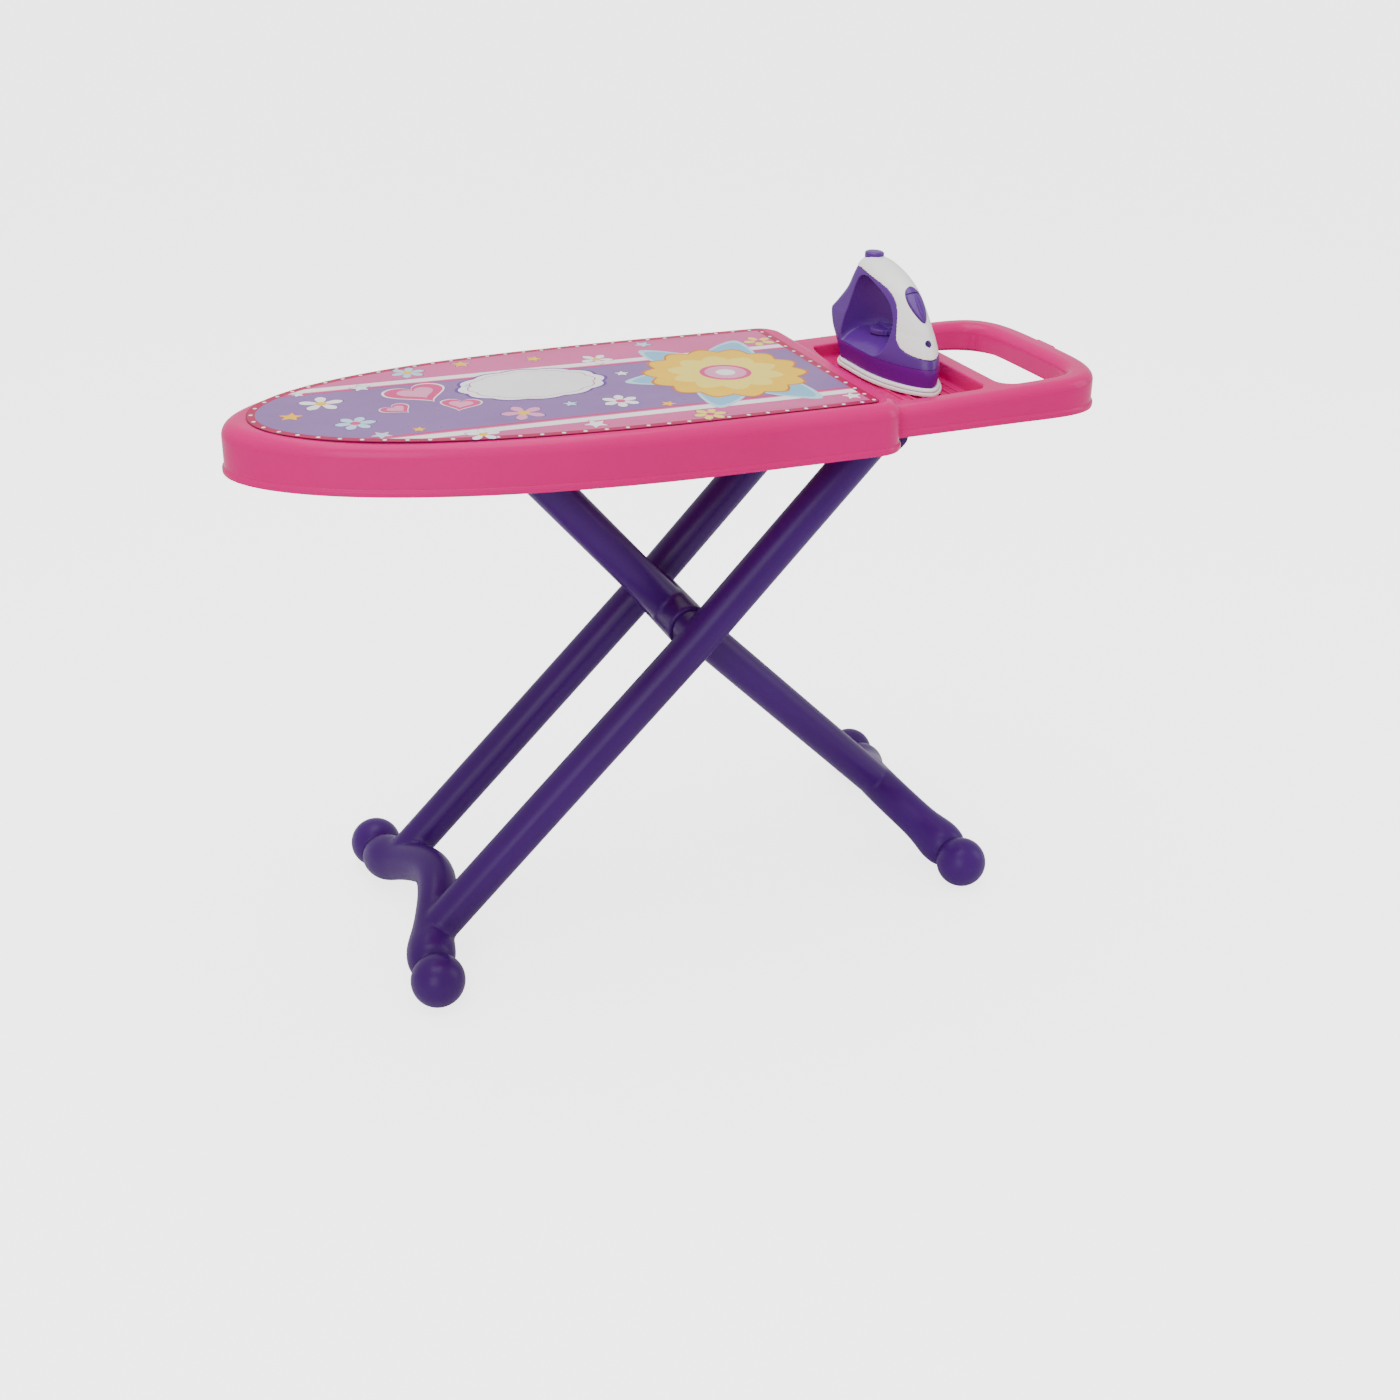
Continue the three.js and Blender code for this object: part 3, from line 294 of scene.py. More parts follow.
def applied(made, *steps):
    """The object with modifiers applied, each given as (kind, settings)."""
    for kind, settings in steps:
        modifier = made.modifiers.new(kind, kind)
        for key, value in settings.items():
            setattr(modifier, key, value)
    graph = bpy.context.evaluated_depsgraph_get()
    mesh = bpy.data.meshes.new_from_object(made.evaluated_get(graph))
    made.modifiers.clear()
    made.data = mesh
    return made


def combined(made, kind, tools):
    applied(made, *[("BOOLEAN", {"operation": kind, "solver": "MANIFOLD", "object": t}) for t in tools])
    for tool in tools:
        bpy.data.objects.remove(tool)
    return made


def cut(made, *tools):
    return combined(made, "DIFFERENCE", tools)


def joined(made, *tools):
    return combined(made, "UNION", tools)


def kept(made, *tools):
    return combined(made, "INTERSECT", tools)


def softened(made, voxel, rounds):
    """One skin round all that overlaps, with its edges and inner corners rounded."""
    return applied(made, ("REMESH", {"mode": "VOXEL", "voxel_size": voxel * MM}),
                   ("SMOOTH", {"factor": 0.5, "iterations": rounds}))


def block(x0, x1, y0, y1, z0, z1):
    corners = [(x0, y0), (x1, y0), (x1, y1), (x0, y1)]
    return skin("block", [[(x, y, z) for x, y in corners] for z in (z0, z1)])


def turned(count):
    """Directions evenly spread round a circle, as angles."""
    return [2 * math.pi * k / count for k in range(count)]


def post(centre, radius, length, axis="z", sides=32):
    rings = []
    for t in (-length / 2, length / 2):
        ring = []
        for a in turned(sides):
            u, v = radius * math.cos(a), radius * math.sin(a)
            ring.append(Vector(centre) + Vector((u, v, t) if axis == "z" else (u, t, v)))
        rings.append(ring)
    return skin("post", rings)


def spun(name, centre, profile, sides=72):
    """A piece turned about the Y direction, from [along, radius] pairs."""
    return skin(name, [[
        Vector(centre) + Vector((radius * math.cos(a), along, radius * math.sin(a)))
        for a in turned(sides)] for along, radius in profile])


def sweep(name, stations, radii, square_to, sides=48):
    """A round bar through stations in one plane, which square_to is square to."""
    rings = []
    for k, centre in enumerate(stations):
        along = (stations[min(k + 1, len(stations) - 1)] - stations[max(k - 1, 0)]).normalized()
        across = along.cross(square_to)
        rings.append([centre + (across * math.cos(a) + square_to * math.sin(a)) * radii[k]
                      for a in turned(sides)])
    return skin(name, rings)


# Outlines
def quarter_oval(along, across, steps):
    """Points of a superellipse from (0, 1) to (1, 0), evenly spread by direction."""
    points = []
    for k in range(steps + 1):
        a = math.pi / 2 * k / steps
        x, y = math.sin(a), math.cos(a)
        low, high = 0.0, 1.5
        for _ in range(HALVINGS):
            r = (low + high) / 2
            if (r * x) ** along + (r * y) ** across < 1:
                low = r
            else:
                high = r
        points.append((low * x, low * y))
    points[0], points[-1] = (0, 1), (1, 0)
    return points


def bullet(tip, shoulder, end, half, corner, powers, end_half=None, steps=48, bends=8):
    """Superellipse nose at the low end, straight sides and round corners at the high end."""
    end_half = half if end_half is None else end_half
    slope = math.atan2(half - end_half, end - shoulder)
    turns = [k / bends * (math.pi / 2 - slope) for k in range(bends + 1)]
    side = [(end - corner + corner * math.cos(a), end_half - corner + corner * math.sin(a)) for a in turns]
    side += [(shoulder - (shoulder - tip) * x, half * y) for x, y in quarter_oval(*powers, steps)]
    return side + [(x, -y) for x, y in reversed(side) if y > 0]


def half_turned(outline):
    return [(-x, -y) for x, y in outline]


def inset(outline, distance):
    """Each point moved inwards square to the outline."""
    count, moved = len(outline), []
    for i, (x, y) in enumerate(outline):
        x0, y0 = outline[i - 1]
        x1, y1 = outline[(i + 1) % count]
        first = Vector((y0 - y, x - x0)).normalized()
        second = Vector((y - y1, x1 - x)).normalized()
        share = distance / (1 + first.dot(second))
        moved.append((x + share * (first.x + second.x), y + share * (first.y + second.y)))
    return moved


def stack(name, outline, levels):
    """A solid from levels [inset, height], where a height may depend on x."""
    return skin(name, [[(x, y, height(x) if callable(height) else height)
                        for x, y in inset(outline, distance)] for distance, height in levels])


def rounded_top(start, top, radius, steps=8):
    levels = []
    for k in range(steps + 1):
        a = k / steps * math.pi / 2
        levels.append((start + radius * (1 - math.cos(a)),
                       lambda x, drop=radius * (1 - math.sin(a)): top(x) - drop))
    return levels


def curved(points, pieces, closed=False):
    """A smooth line through points of any dimension."""
    count, line = len(points), []
    for i in range(count if closed else count - 1):
        near = [points[j % count] if closed else points[min(max(j, 0), count - 1)]
                for j in (i - 1, i, i + 1, i + 2)]
        for k in range(pieces):
            t = k / pieces
            line.append(tuple(0.5 * (2 * q + (r - p) * t + (2 * p - 5 * q + 4 * r - s) * t * t
                                     + (3 * q - p - 3 * r + s) * t ** 3) for p, q, r, s in zip(*near)))
    return line if closed else line + [tuple(points[-1])]


def finished(made, name, body, slot, material, *replaced, angle):
    """Names a piece, gives it its finish, puts it on the body that it rides on, and hides the nodes that it
    stands for.
    """
    made.name = made.data.name = name
    made.data.materials.clear()
    made.data.materials.append(material)
    for face in made.data.polygons:
        face.material_index = 0
    made.data.shade_smooth()
    made.data.set_sharp_from_angle(angle=math.radians(angle))
    even = made.modifiers.new("even shading", "WEIGHTED_NORMAL")
    even.keep_sharp = True
    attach(made, body)
    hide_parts(*replaced)


# Board shell
LIP_WIDTH, TOP_INSET = 1.5, 2
MAIN_FILLET, TRAY_FILLET = 11, 9
LIP_PROFILE = [(1, 0), (0.3, 0.3), (0, 1), (0, 3.5), (0.3, 4.3), (2, 6)]    # [inset, height]
MAIN_OVERLAP, TRAY_OVERLAP = 6, 22    # how far each form passes the step
HANDLE_SHOULDER = 262                 # where the handle's end starts to round
HOLE_START, HOLE_END, HOLE_SHOULDER, HOLE_HALF = 257, 330, 269, 83
HOLE_FILLET = 8
HOLE_MARGIN = 37                      # reach round the hole of the form that trims its wall
HOLE_WALL_LIFT = 8                    # the hole's wall ends this far above the tray's lower edge
RECESS_START, RECESS_END, RECESS_HALF, RECESS_FLOOR = 154, 237.5, 82, 450
RECESS_CORNER, RECESS_EDGE = 10, 2
RECESS_SHIFT = -5.5                   # towards the front
MAIN_CORNER, TRAY_CORNER, HOLE_CORNER = 26, 14, 11
NOSE_POWERS, HANDLE_POWERS, HOLE_POWERS = (2.25, 1.9), (3.9, 3.9), (4.6, 4.6)
MAIN = bullet(NOSE_TIP, SHOULDER, STEP + MAIN_OVERLAP, BOARD_HALF, MAIN_CORNER, NOSE_POWERS,
              steps=72, bends=12)
TRAY = half_turned(bullet(-HANDLE_END, -HANDLE_SHOULDER, TRAY_OVERLAP - STEP, HANDLE_HALF, TRAY_CORNER,
                          HANDLE_POWERS, end_half=TRAY_HALF))
HOLE = half_turned(bullet(-HOLE_END, -HOLE_SHOULDER, -HOLE_START, HOLE_HALF, HOLE_CORNER, HOLE_POWERS,
                          steps=40))
RECESS = [(x, y + RECESS_SHIFT) for x, y in bullet(
    RECESS_START, RECESS_START + RECESS_CORNER, RECESS_END, RECESS_HALF, RECESS_CORNER, (2, 2), steps=10)]

RIB_HALF, RIB_DROP, RIB_PITCH, RIB_COUNT = 0.9, 6, 62, 7
LENGTHWISE_RIBS = (-84, -22, 22, 84)
TRAY_RIBS = (-44, 0, 44)
TRAY_RIB_START, TRAY_RIB_END, TRAY_RIB_LOW = 180.4, 249.5, 441.4
POST_RADIUS, PILOT_RADIUS, PILOT_LENGTH = 4.5, 1.8, 17
PILOT_RISE = 3.5                      # from a post's lower end to its pilot hole's middle
CLIP_POSTS = [(x, y, 446.5) for x in (135.4, 116.4) for y in (-34.9, 34.9)]
TRACK_POSTS = [(x, y, 457.4) for x in (-271.2, -180) for y in (-52.95, 52.95)]
SCREW_POSTS = CLIP_POSTS + TRACK_POSTS    # each [x, y, lower end]

FLOOR_RIB_COUNT, FLOOR_RIB_PITCH, FLOOR_RIB_MIDDLE = 7, 9, 204.5
FLOOR_RIB_FRONT, FLOOR_RIB_BACK = -76, 66
# Each [share of the width, share of the length, height] of a floor rib's section
FLOOR_RIB_LEVELS = ((1, 1, 448.7), (1, 1, 450.7), (0.8, 0.998, 451.05), (0.5, 0.995, 451.2))
NUB_X, NUB_DROP, NUB_SINK = 350.4, 2.6, 1.8    # its place on the fillet, and how far it is sunk in
NUB_SIDE = [(-13, 1.6), (-12.6, 2.7), (-11.8, 3.3), (-10.8, 3.5)]


def main_form(inward, drop, bottom=BOARD_BOTTOM):
    return stack("main", MAIN, [
        (LIP_WIDTH + inward, bottom),
        *rounded_top(TOP_INSET + inward, lambda x: SHELL_TOP - drop, MAIN_FILLET - inward)])


def tray_form(inward, drop, bottom=TRAY_BOTTOM):
    return stack("tray", TRAY, [
        (LIP_WIDTH + inward, bottom),
        *rounded_top(TOP_INSET + inward, lambda x: tray_top(x) - drop, TRAY_FILLET - inward)])


def lip_form(outline, low):
    return stack("lip", outline, [(distance, low + rise) for distance, rise in LIP_PROFILE])


def hole_form(outward):
    flare = [(-distance - outward, height) for distance, height in rounded_top(0, tray_top, HOLE_FILLET)]
    return stack("hole", HOLE, [(-outward, BELOW), *flare,
                                (-HOLE_FILLET - outward, lambda x: tray_top(x) + OVERRUN)])


def recess_form(outward):
    edge = RECESS_EDGE
    lip = [(-edge * (1 - math.cos(a)) - outward, lambda x, rise=edge * math.sin(a): tray_top(x) - edge + rise)
           for a in (0, 0.4, 0.8, 1.2, math.pi / 2)]
    floor = [(edge * (1 - math.sin(a)) - outward, RECESS_FLOOR + edge - edge * math.cos(a) - outward)
             for a in (0, 0.5, 1.0, math.pi / 2)]
    return stack("recess", RECESS, [*floor, *lip, (-edge - outward, lambda x: tray_top(x) + OVERRUN)])


def fittings():
    """Ribs under the board and the recess, and posts for the screws."""
    low = SHELL_TOP - TOP_WALL - RIB_DROP
    forms = [block(x - RIB_HALF, x + RIB_HALF, -WIDE, WIDE, low, SHELL_TOP)
             for x in (NOSE_TIP + RIB_PITCH * k for k in range(1, RIB_COUNT + 1))]
    forms += [block(NOSE_TIP, STEP, y - RIB_HALF, y + RIB_HALF, low, SHELL_TOP) for y in LENGTHWISE_RIBS]
    forms += [block(TRAY_RIB_START, TRAY_RIB_END, y - RIB_HALF, y + RIB_HALF, TRAY_RIB_LOW, SHELL_TOP)
              for y in TRAY_RIBS]
    forms += [post((x, y, (foot + SHELL_TOP) / 2), POST_RADIUS, SHELL_TOP - foot)
              for x, y, foot in SCREW_POSTS]
    return joined(*forms)


def floor_ribs():
    ribs = []
    for k in range(FLOOR_RIB_COUNT):
        x = FLOOR_RIB_MIDDLE + (k - FLOOR_RIB_COUNT // 2) * FLOOR_RIB_PITCH
        rim = [(-1, FLOOR_RIB_FRONT), (1, FLOOR_RIB_FRONT), (1, FLOOR_RIB_BACK), (-1, FLOOR_RIB_BACK)]
        ribs.append(skin("rib", [[(x + dx * width, y * length, z) for dx, y in rim]
                                 for width, length, z in FLOOR_RIB_LEVELS]))
    return ribs


def nub():
    centre = (NUB_X - NUB_SINK, 0, tray_top(HANDLE_END) - NUB_DROP - NUB_SINK)
    return spun("nub", centre, NUB_SIDE + [(-along, radius) for along, radius in reversed(NUB_SIDE)], 32)


def board_shell():
    outer = joined(main_form(0, 0), tray_form(0, 0), lip_form(MAIN, BOARD_BOTTOM),
                   lip_form(TRAY, TRAY_BOTTOM))
    side = HOLE_HALF + HOLE_MARGIN
    under_wall = block(HOLE_START - HOLE_MARGIN, HANDLE_END + OVERRUN, -side, side,
                       BELOW - 2 * OVERRUN, TRAY_BOTTOM + HOLE_WALL_LIFT)
    hole_wall = cut(hole_form(WALL), under_wall)
    cavity = joined(main_form(WALL, TOP_WALL, BELOW), tray_form(WALL, TOP_WALL, BELOW))
    cavity = cut(cavity, hole_wall, recess_form(WALL))
    core = joined(main_form(WALL / 2, TOP_WALL / 2), tray_form(WALL / 2, TOP_WALL / 2))
    hollow = joined(cut(outer, cavity), kept(fittings(), core))
    pilots = [post((x, y, foot + PILOT_RISE), PILOT_RADIUS, PILOT_LENGTH, sides=16)
              for x, y, foot in SCREW_POSTS]
    hollow = cut(hollow, hole_form(0), recess_form(0), *pilots)
    return joined(hollow, *floor_ribs(), nub())


finished(board_shell(), "shell", "board", "pink_plastic", PINK, "board_shell", angle=28)


# Printed sheet: flat inks laid over one another on the sheet's top
LABEL_TIP, LABEL_END, LABEL_HALF, LABEL_CORNER = -334, 127, 112.5, 6
LABEL_POWERS = (2.65, 2.05)
LABEL = bullet(LABEL_TIP, SHOULDER, LABEL_END, LABEL_HALF, LABEL_CORNER, LABEL_POWERS, steps=72)
SHEET_LEVELS = [(0.15, 469.5), (0, 469.6), (0, 469.85), (0.15, PRINT_TOP)]    # [inset, height]
INK_STEP = 0.02                 # between one level of ink and the next
BORDER_INSET, INNER_INSET, DOT_INSET = 0.7, 6.5, 3.6
DOT_RADIUS, DOT_PITCH = 1.55, 15.9
INK_COLOURS = {
    "edge_line": (130, 0, 58), "border": (178, 0, 76), "pink_band": (214, 92, 150),
    "lilac_band": (138, 102, 162), "white": (250, 246, 248), "rose_line": (206, 30, 112),
    "lilac_deep": (98, 54, 146), "yellow": (248, 198, 20), "cream": (252, 226, 96),
    "amber": (206, 116, 10), "sky": (128, 190, 222), "sky_pale": (182, 220, 238),
    "rose": (220, 56, 128), "blush": (236, 150, 188),
}
DARKER_SHARE = 0.93
INK_SPECULAR, INK_ROUGHNESS = 0.12, 0.27
CLOUD_SCALE, PRESS_SCALE, FILM_SCALE, WAVE_SCALE = 14, 700, 60, 8
WAVE_HEIGHT = 0.0004            # of the sheet's own waves, in metres

# Bands across the board, each [low, high, ink]
BANDS = ((-200, -70, "pink_band"), (-70, 46, "lilac_band"), (46, 200, "pink_band"))
STRIPES = ((-84.5, -75.5, "white"), (-72.5, -70, "rose_line"), (51, 60, "white"), (46, 48.5, "rose_line"))

# Sunflower: leaves [turn, size], rings of petals [count, size, ink, level], discs [radius, ink, level]
SUNFLOWER_PLACE = (44, -2)
SUNFLOWER_LEAVES = ((62, 96), (118, 92), (-64, 98), (-116, 94), (180, 86))
SUNFLOWER_RINGS = ((14, 68, "amber", 5), (14, 65.5, "yellow", 5.3), (10, 47, "cream", 5.8))
SUNFLOWER_DISCS = ((21, "rose", 6.2), (17, "blush", 6.5), (8, "white", 6.8))

# Bare scalloped badge: its middle, half sizes, and layers [share of the size, ink, level]
BADGE_PLACE, BADGE_HALF = (-112, 18), (62, 41)
BADGE_LAYERS = ((1, "lilac_deep", 4), (0.955, "white", 4.3), (0.84, "rose_line", 4.6), (0.825, "white", 4.9))

# Hearts and stars [x, y, size, turn], and flowers [x, y, size, petals, ink, heart's ink, turn]
HEARTS = ((-202, 24, 24, 105), (-178, -14, 15, 70), (-226, -10, 12, 120))
FLOWERS = (
    (-276, 20, 17, 5, "white", "yellow", 10), (-262, -34, 15, 6, "sky_pale", "rose", 0),
    (-140, -50, 17, 5, "blush", "yellow", 30), (-62, -46, 15, 6, "white", "rose", 20),
    (-42, 66, 14, 5, "white", "yellow", 50), (-196, 78, 14, 6, "sky_pale", "yellow", 12),
    (108, 74, 14, 5, "cream", "rose", 33), (-182, -88, 13, 5, "white", "yellow", 8),
    (-10, -98, 13, 6, "cream", "rose", 0),
)
STARS = (
    (-303, -4, 9, 0), (-240, 50, 8, 20), (-250, -66, 8, 40), (-150, 88, 8, 10), (-98, -92, 9, 33),
    (-100, -40, 6, 15), (-30, -64, 6, 50), (-36, 22, 6, 5), (-160, 28, 6, 30), (-90, 84, 7, 60),
    (112, -92, 8, 12), (10, 96, 8, 44), (-222, -62, 5, 0), (-288, 48, 5, 25),
)
STAR_INKS = ("yellow", "white", "sky_pale")
LEAF_SHARE, STAR_RIM_SHARE, PETAL_RIM_SHARE, FLOWER_HEART_SHARE = 0.93, 1.15, 1.06, 0.26
HEART_LAYERS = ((1.08, "white", 4), (1, "rose", 4.3), (0.62, "blush", 4.6))


def printed(name, colour):
    """Laminated ink: a faint cloud and the dots of the press in its tone, under a clear film."""
    material = bpy.data.materials.new("ink_" + name)
    material.use_nodes = True
    tree = material.node_tree
    shader = tree.nodes["Principled BSDF"]
    darker = tuple(c * DARKER_SHARE for c in colour)
    soft = noise(tree, CLOUD_SCALE, 3).share(0.35, 0.7) * 0.6
    tone = soft + noise(tree, PRESS_SCALE, 1).share(0.4, 0.6) * 0.4
    tree.links.new(mixed(tree, tone, srgb(*darker), srgb(*colour)), shader.inputs["Base Color"])
    gloss = noise(tree, FILM_SCALE, 2).share(0.25, 0.8) * 0.1 + INK_ROUGHNESS
    tree.links.new(gloss.socket, shader.inputs["Roughness"])
    shader.inputs["Specular IOR Level"].default_value = INK_SPECULAR
    bumped(tree, shader, noise(tree, WAVE_SCALE, 2), WAVE_HEIGHT)
    return material


class Sheet:
    """Patches of ink, each a flat outline at its own small level above the sheet."""

    def __init__(self):
        self.points, self.faces, self.inks = [], [], []

    def patch(self, outline, ink, level):
        start = len(self.points)
        self.points += [(x, y, PRINT_TOP + INK_STEP * level) for x, y in outline]
        self.faces.append(tuple(range(start, len(self.points))))
        self.inks.append(ink)


def clipped(outline, low, high):
    """The part of an outline between two places across the board."""
    for limit, sign in ((low, 1), (high, -1)):
        kept_points = []
        for i, (x, y) in enumerate(outline):
            px, py = outline[i - 1]
            here, before = sign * (y - limit), sign * (py - limit)
            if here * before < 0:
                t = before / (before - here)
                kept_points.append((px + (x - px) * t, py + (y - py) * t))
            if here >= 0:
                kept_points.append((x, y))
        outline = kept_points
    return outline


def placed(shape, x, y, size, turn=0.0):
    c, s = math.cos(math.radians(turn)), math.sin(math.radians(turn))
    return [(x + size * (u * c - v * s), y + size * (u * s + v * c)) for u, v in shape]


def round_points(count, radius):
    return [(radius(a) * math.cos(a), radius(a) * math.sin(a)) for a in turned(count)]


CIRCLE = round_points(40, lambda a: 1)
STAR = curved(round_points(10, lambda a: 1 if round(a * 5 / math.pi) % 2 == 0 else 0.52), 6, closed=True)
SCALLOPS = round_points(220, lambda a: 0.94 + 0.06 * abs(math.cos(6 * a)))
HEART = [(0.062 * (13 * math.cos(a) - 5 * math.cos(2 * a) - 2 * math.cos(3 * a) - math.cos(4 * a)),
          0.062 * 16 * math.sin(a) ** 3) for a in turned(60)]
PETAL = curved([(0.05, 0), (0.35, 0.17), (0.75, 0.24), (1, 0), (0.75, -0.24), (0.35, -0.17)], 6,
               closed=True)
LEAF = curved([(0, 0), (0.3, 0.2), (0.65, 0.2), (1, 0), (0.65, -0.2), (0.3, -0.2)], 6, closed=True)


def add_bands(sheet):
    sheet.patch(inset(LABEL, BORDER_INSET), "border", 1)
    inner = inset(LABEL, INNER_INSET)
    for level, bands in ((2, BANDS), (3, STRIPES)):
        for low, high, ink in bands:
            sheet.patch(clipped(inner, low, high), ink, level)


def add_dots(sheet):
    """A row of dots all round, a pitch apart along the line."""
    line = inset(LABEL, DOT_INSET)
    gone = 0.0
    for i, (x, y) in enumerate(line):
        px, py = line[i - 1]
        length = math.hypot(x - px, y - py)
        while gone <= length:
            t = gone / length
            sheet.patch(placed(CIRCLE, px + (x - px) * t, py + (y - py) * t, DOT_RADIUS), "white", 3)
            gone += DOT_PITCH
        gone -= length


def add_sunflower(sheet):
    x, y = SUNFLOWER_PLACE
    for turn, size in SUNFLOWER_LEAVES:
        sheet.patch(placed(LEAF, x, y, size, turn), "sky_pale", 4)
        sheet.patch(placed(LEAF, x, y, size * LEAF_SHARE, turn), "sky", 4.4)
    for count, size, ink, level in SUNFLOWER_RINGS:
        for k in range(count):
            sheet.patch(placed(PETAL, x, y, size, 360 * k / count + 9), ink, level + 0.1 * (k % 2))
    for radius, ink, level in SUNFLOWER_DISCS:
        sheet.patch(placed(CIRCLE, x, y, radius), ink, level)


def add_badge(sheet):
    (x, y), (half_x, half_y) = BADGE_PLACE, BADGE_HALF
    for share, ink, level in BADGE_LAYERS:
        sheet.patch([(x + half_x * share * u, y + half_y * share * v) for u, v in SCALLOPS], ink, level)


def add_flower(sheet, x, y, size, petals, ink, heart_ink, turn):
    turns = [turn + 360 * k / petals for k in range(petals)]
    for angle in turns:
        sheet.patch(placed(PETAL, x, y, size * PETAL_RIM_SHARE, angle), "lilac_deep", 4)
    for k, angle in enumerate(turns):
        sheet.patch(placed(PETAL, x, y, size, angle), ink, 4.4 + 0.1 * (k % 2))
    sheet.patch(placed(CIRCLE, x, y, size * FLOWER_HEART_SHARE), heart_ink, 5)


def add_small_motifs(sheet):
    for x, y, size, turn in HEARTS:
        for share, ink, level in HEART_LAYERS:
            sheet.patch(placed(HEART, x, y, size * share, turn), ink, level)
    for bloom in FLOWERS:
        add_flower(sheet, *bloom)
    for k, (x, y, size, turn) in enumerate(STARS):
        rim = "lilac_deep" if k % 2 else "rose_line"
        sheet.patch(placed(STAR, x, y, size * STAR_RIM_SHARE, turn), rim, 4)
        sheet.patch(placed(STAR, x, y, size, turn), STAR_INKS[k % 3], 4.4)


def printed_sheet():
    sheet = Sheet()
    for add in (add_bands, add_dots, add_sunflower, add_badge, add_small_motifs):
        add(sheet)
    base = stack("sheet", LABEL, SHEET_LEVELS)
    names = list(INK_COLOURS)
    mesh = bpy.data.meshes.new("sheet")
    work = bmesh.new()
    work.from_mesh(base.data)
    for face in work.faces:
        face.material_index = names.index("edge_line")
    for face, ink in zip(sheet.faces, sheet.inks):
        made_face = work.faces.new([work.verts.new(Vector(sheet.points[i]) * MM) for i in face])
        made_face.normal_update()
        if made_face.normal.z < 0:
            made_face.normal_flip()
        made_face.material_index = names.index(ink)
    work.to_mesh(mesh)
    work.free()
    bpy.data.objects.remove(base)
    made = bpy.data.objects.new("printed_cover", mesh)
    scene.collection.objects.link(made)
    for name in names:
        mesh.materials.append(printed(name, INK_COLOURS[name]))
    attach(made, "board")
    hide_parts("board_label")


printed_sheet()


# Legs
TUBE_RADIUS, SLIDE_TUBE_RADIUS = 16, 12.5
TUBE_Y = 59.9                   # from the middle to each outer tube's centre line
ARCH_HEIGHT, ARCH_HALF = 38.5, 100
FOOT_RADIUS, LOBE_SWELL, LOBE_PLACE, LOBE_LENGTH = 17, 3.5, 78, 16
NECK_START, NECK_LENGTH, NECK_SHARE = 85.9, 10, 0.6
FOOT_END, FOOT_STEPS = 95.6, 48
EYE_RADIUS, EYE_WIDTH = 17, 36
BOSS_RADIUS, BOSS_FACE, BOSS_LENGTH = 17, 40.9, 19
BARREL_RADIUS, BARREL_LENGTH = 18.8, 78.2
SLIDE_EYE_RADIUS, SLIDE_TAPER_SHARE = 14, 0.8
HINGE_BORE, ROD_BORE, SLIDE_BORE = 11.3, 4.3, 8.3    # radii
HINGE_BORE_LENGTH, ROD_BORE_LENGTH, BARREL_BORE_LENGTH, SLIDE_BORE_LENGTH = 170, 112.4, 100, 50
LEG_VOXEL, LEG_ROUNDS = 1.8, 4
BALL_RADIUS, BALL_Y = 22.3, 111.9
BALL_SEAT = [(-15.6, 9.4), (-16, 9.8), (-16, 14.7), (-15.7, 15.5)]    # [along, radius] at the foot bar
BALL_TIP = (22.28, 0.4)


def arch(y):
    return ARCH_HEIGHT * math.cos(math.pi / 2 * y / ARCH_HALF) ** 2 if abs(y) < ARCH_HALF else 0


def foot_radius(y):
    lobe = LOBE_SWELL * math.exp(-(((abs(y) - LOBE_PLACE) / LOBE_LENGTH) ** 2))
    neck = min(max((abs(y) - NECK_START) / NECK_LENGTH, 0), 1)
    return (FOOT_RADIUS + lobe) * math.sqrt(1 - (NECK_SHARE * neck) ** 2)


def leg_up(foot):
    return (CROSSING - foot).normalized()


def foot_bar(foot):
    places = [FOOT_END * (k / FOOT_STEPS - 1) for k in range(2 * FOOT_STEPS + 1)]
    centres = [foot + leg_up(foot) * arch(y) + ACROSS * y for y in places]
    return sweep("foot", centres, [foot_radius(y) for y in places], leg_up(foot).cross(ACROSS))


def outer_frame():
    pieces = []
    for side in (-1, 1):
        y = ACROSS * (side * TUBE_Y)
        low = OUTER_FOOT + leg_up(OUTER_FOOT) * arch(TUBE_Y) + y
        pieces.append(sweep("tube", [low, CROSSING + y, HINGE + y], [TUBE_RADIUS] * 3, ACROSS))
        pieces.append(post(HINGE + y, EYE_RADIUS, EYE_WIDTH, "y", 64))
        boss = CROSSING + ACROSS * (side * (BOSS_FACE + TUBE_Y) / 2)
        pieces.append(post(boss, BOSS_RADIUS, BOSS_LENGTH, "y", 64))
    made = softened(joined(foot_bar(OUTER_FOOT), *pieces), LEG_VOXEL, LEG_ROUNDS)
    return cut(made, post(HINGE, HINGE_BORE, HINGE_BORE_LENGTH, "y", 48),
               post(CROSSING, ROD_BORE, ROD_BORE_LENGTH, "y", 24))


def inner_leg():
    low = INNER_FOOT + leg_up(INNER_FOOT) * ARCH_HEIGHT
    stations = [low, CROSSING, CROSSING.lerp(SLIDE, SLIDE_TAPER_SHARE), SLIDE]
    tube = sweep("tube", stations, [TUBE_RADIUS] * 3 + [SLIDE_TUBE_RADIUS], ACROSS)
    made = joined(foot_bar(INNER_FOOT), tube, post(CROSSING, BARREL_RADIUS, BARREL_LENGTH, "y", 64),
                  post(SLIDE, SLIDE_EYE_RADIUS, EYE_WIDTH, "y", 64))
    made = softened(made, LEG_VOXEL, LEG_ROUNDS)
    return cut(made, post(CROSSING, ROD_BORE, BARREL_BORE_LENGTH, "y", 24),
               post(SLIDE, SLIDE_BORE, SLIDE_BORE_LENGTH, "y", 32))


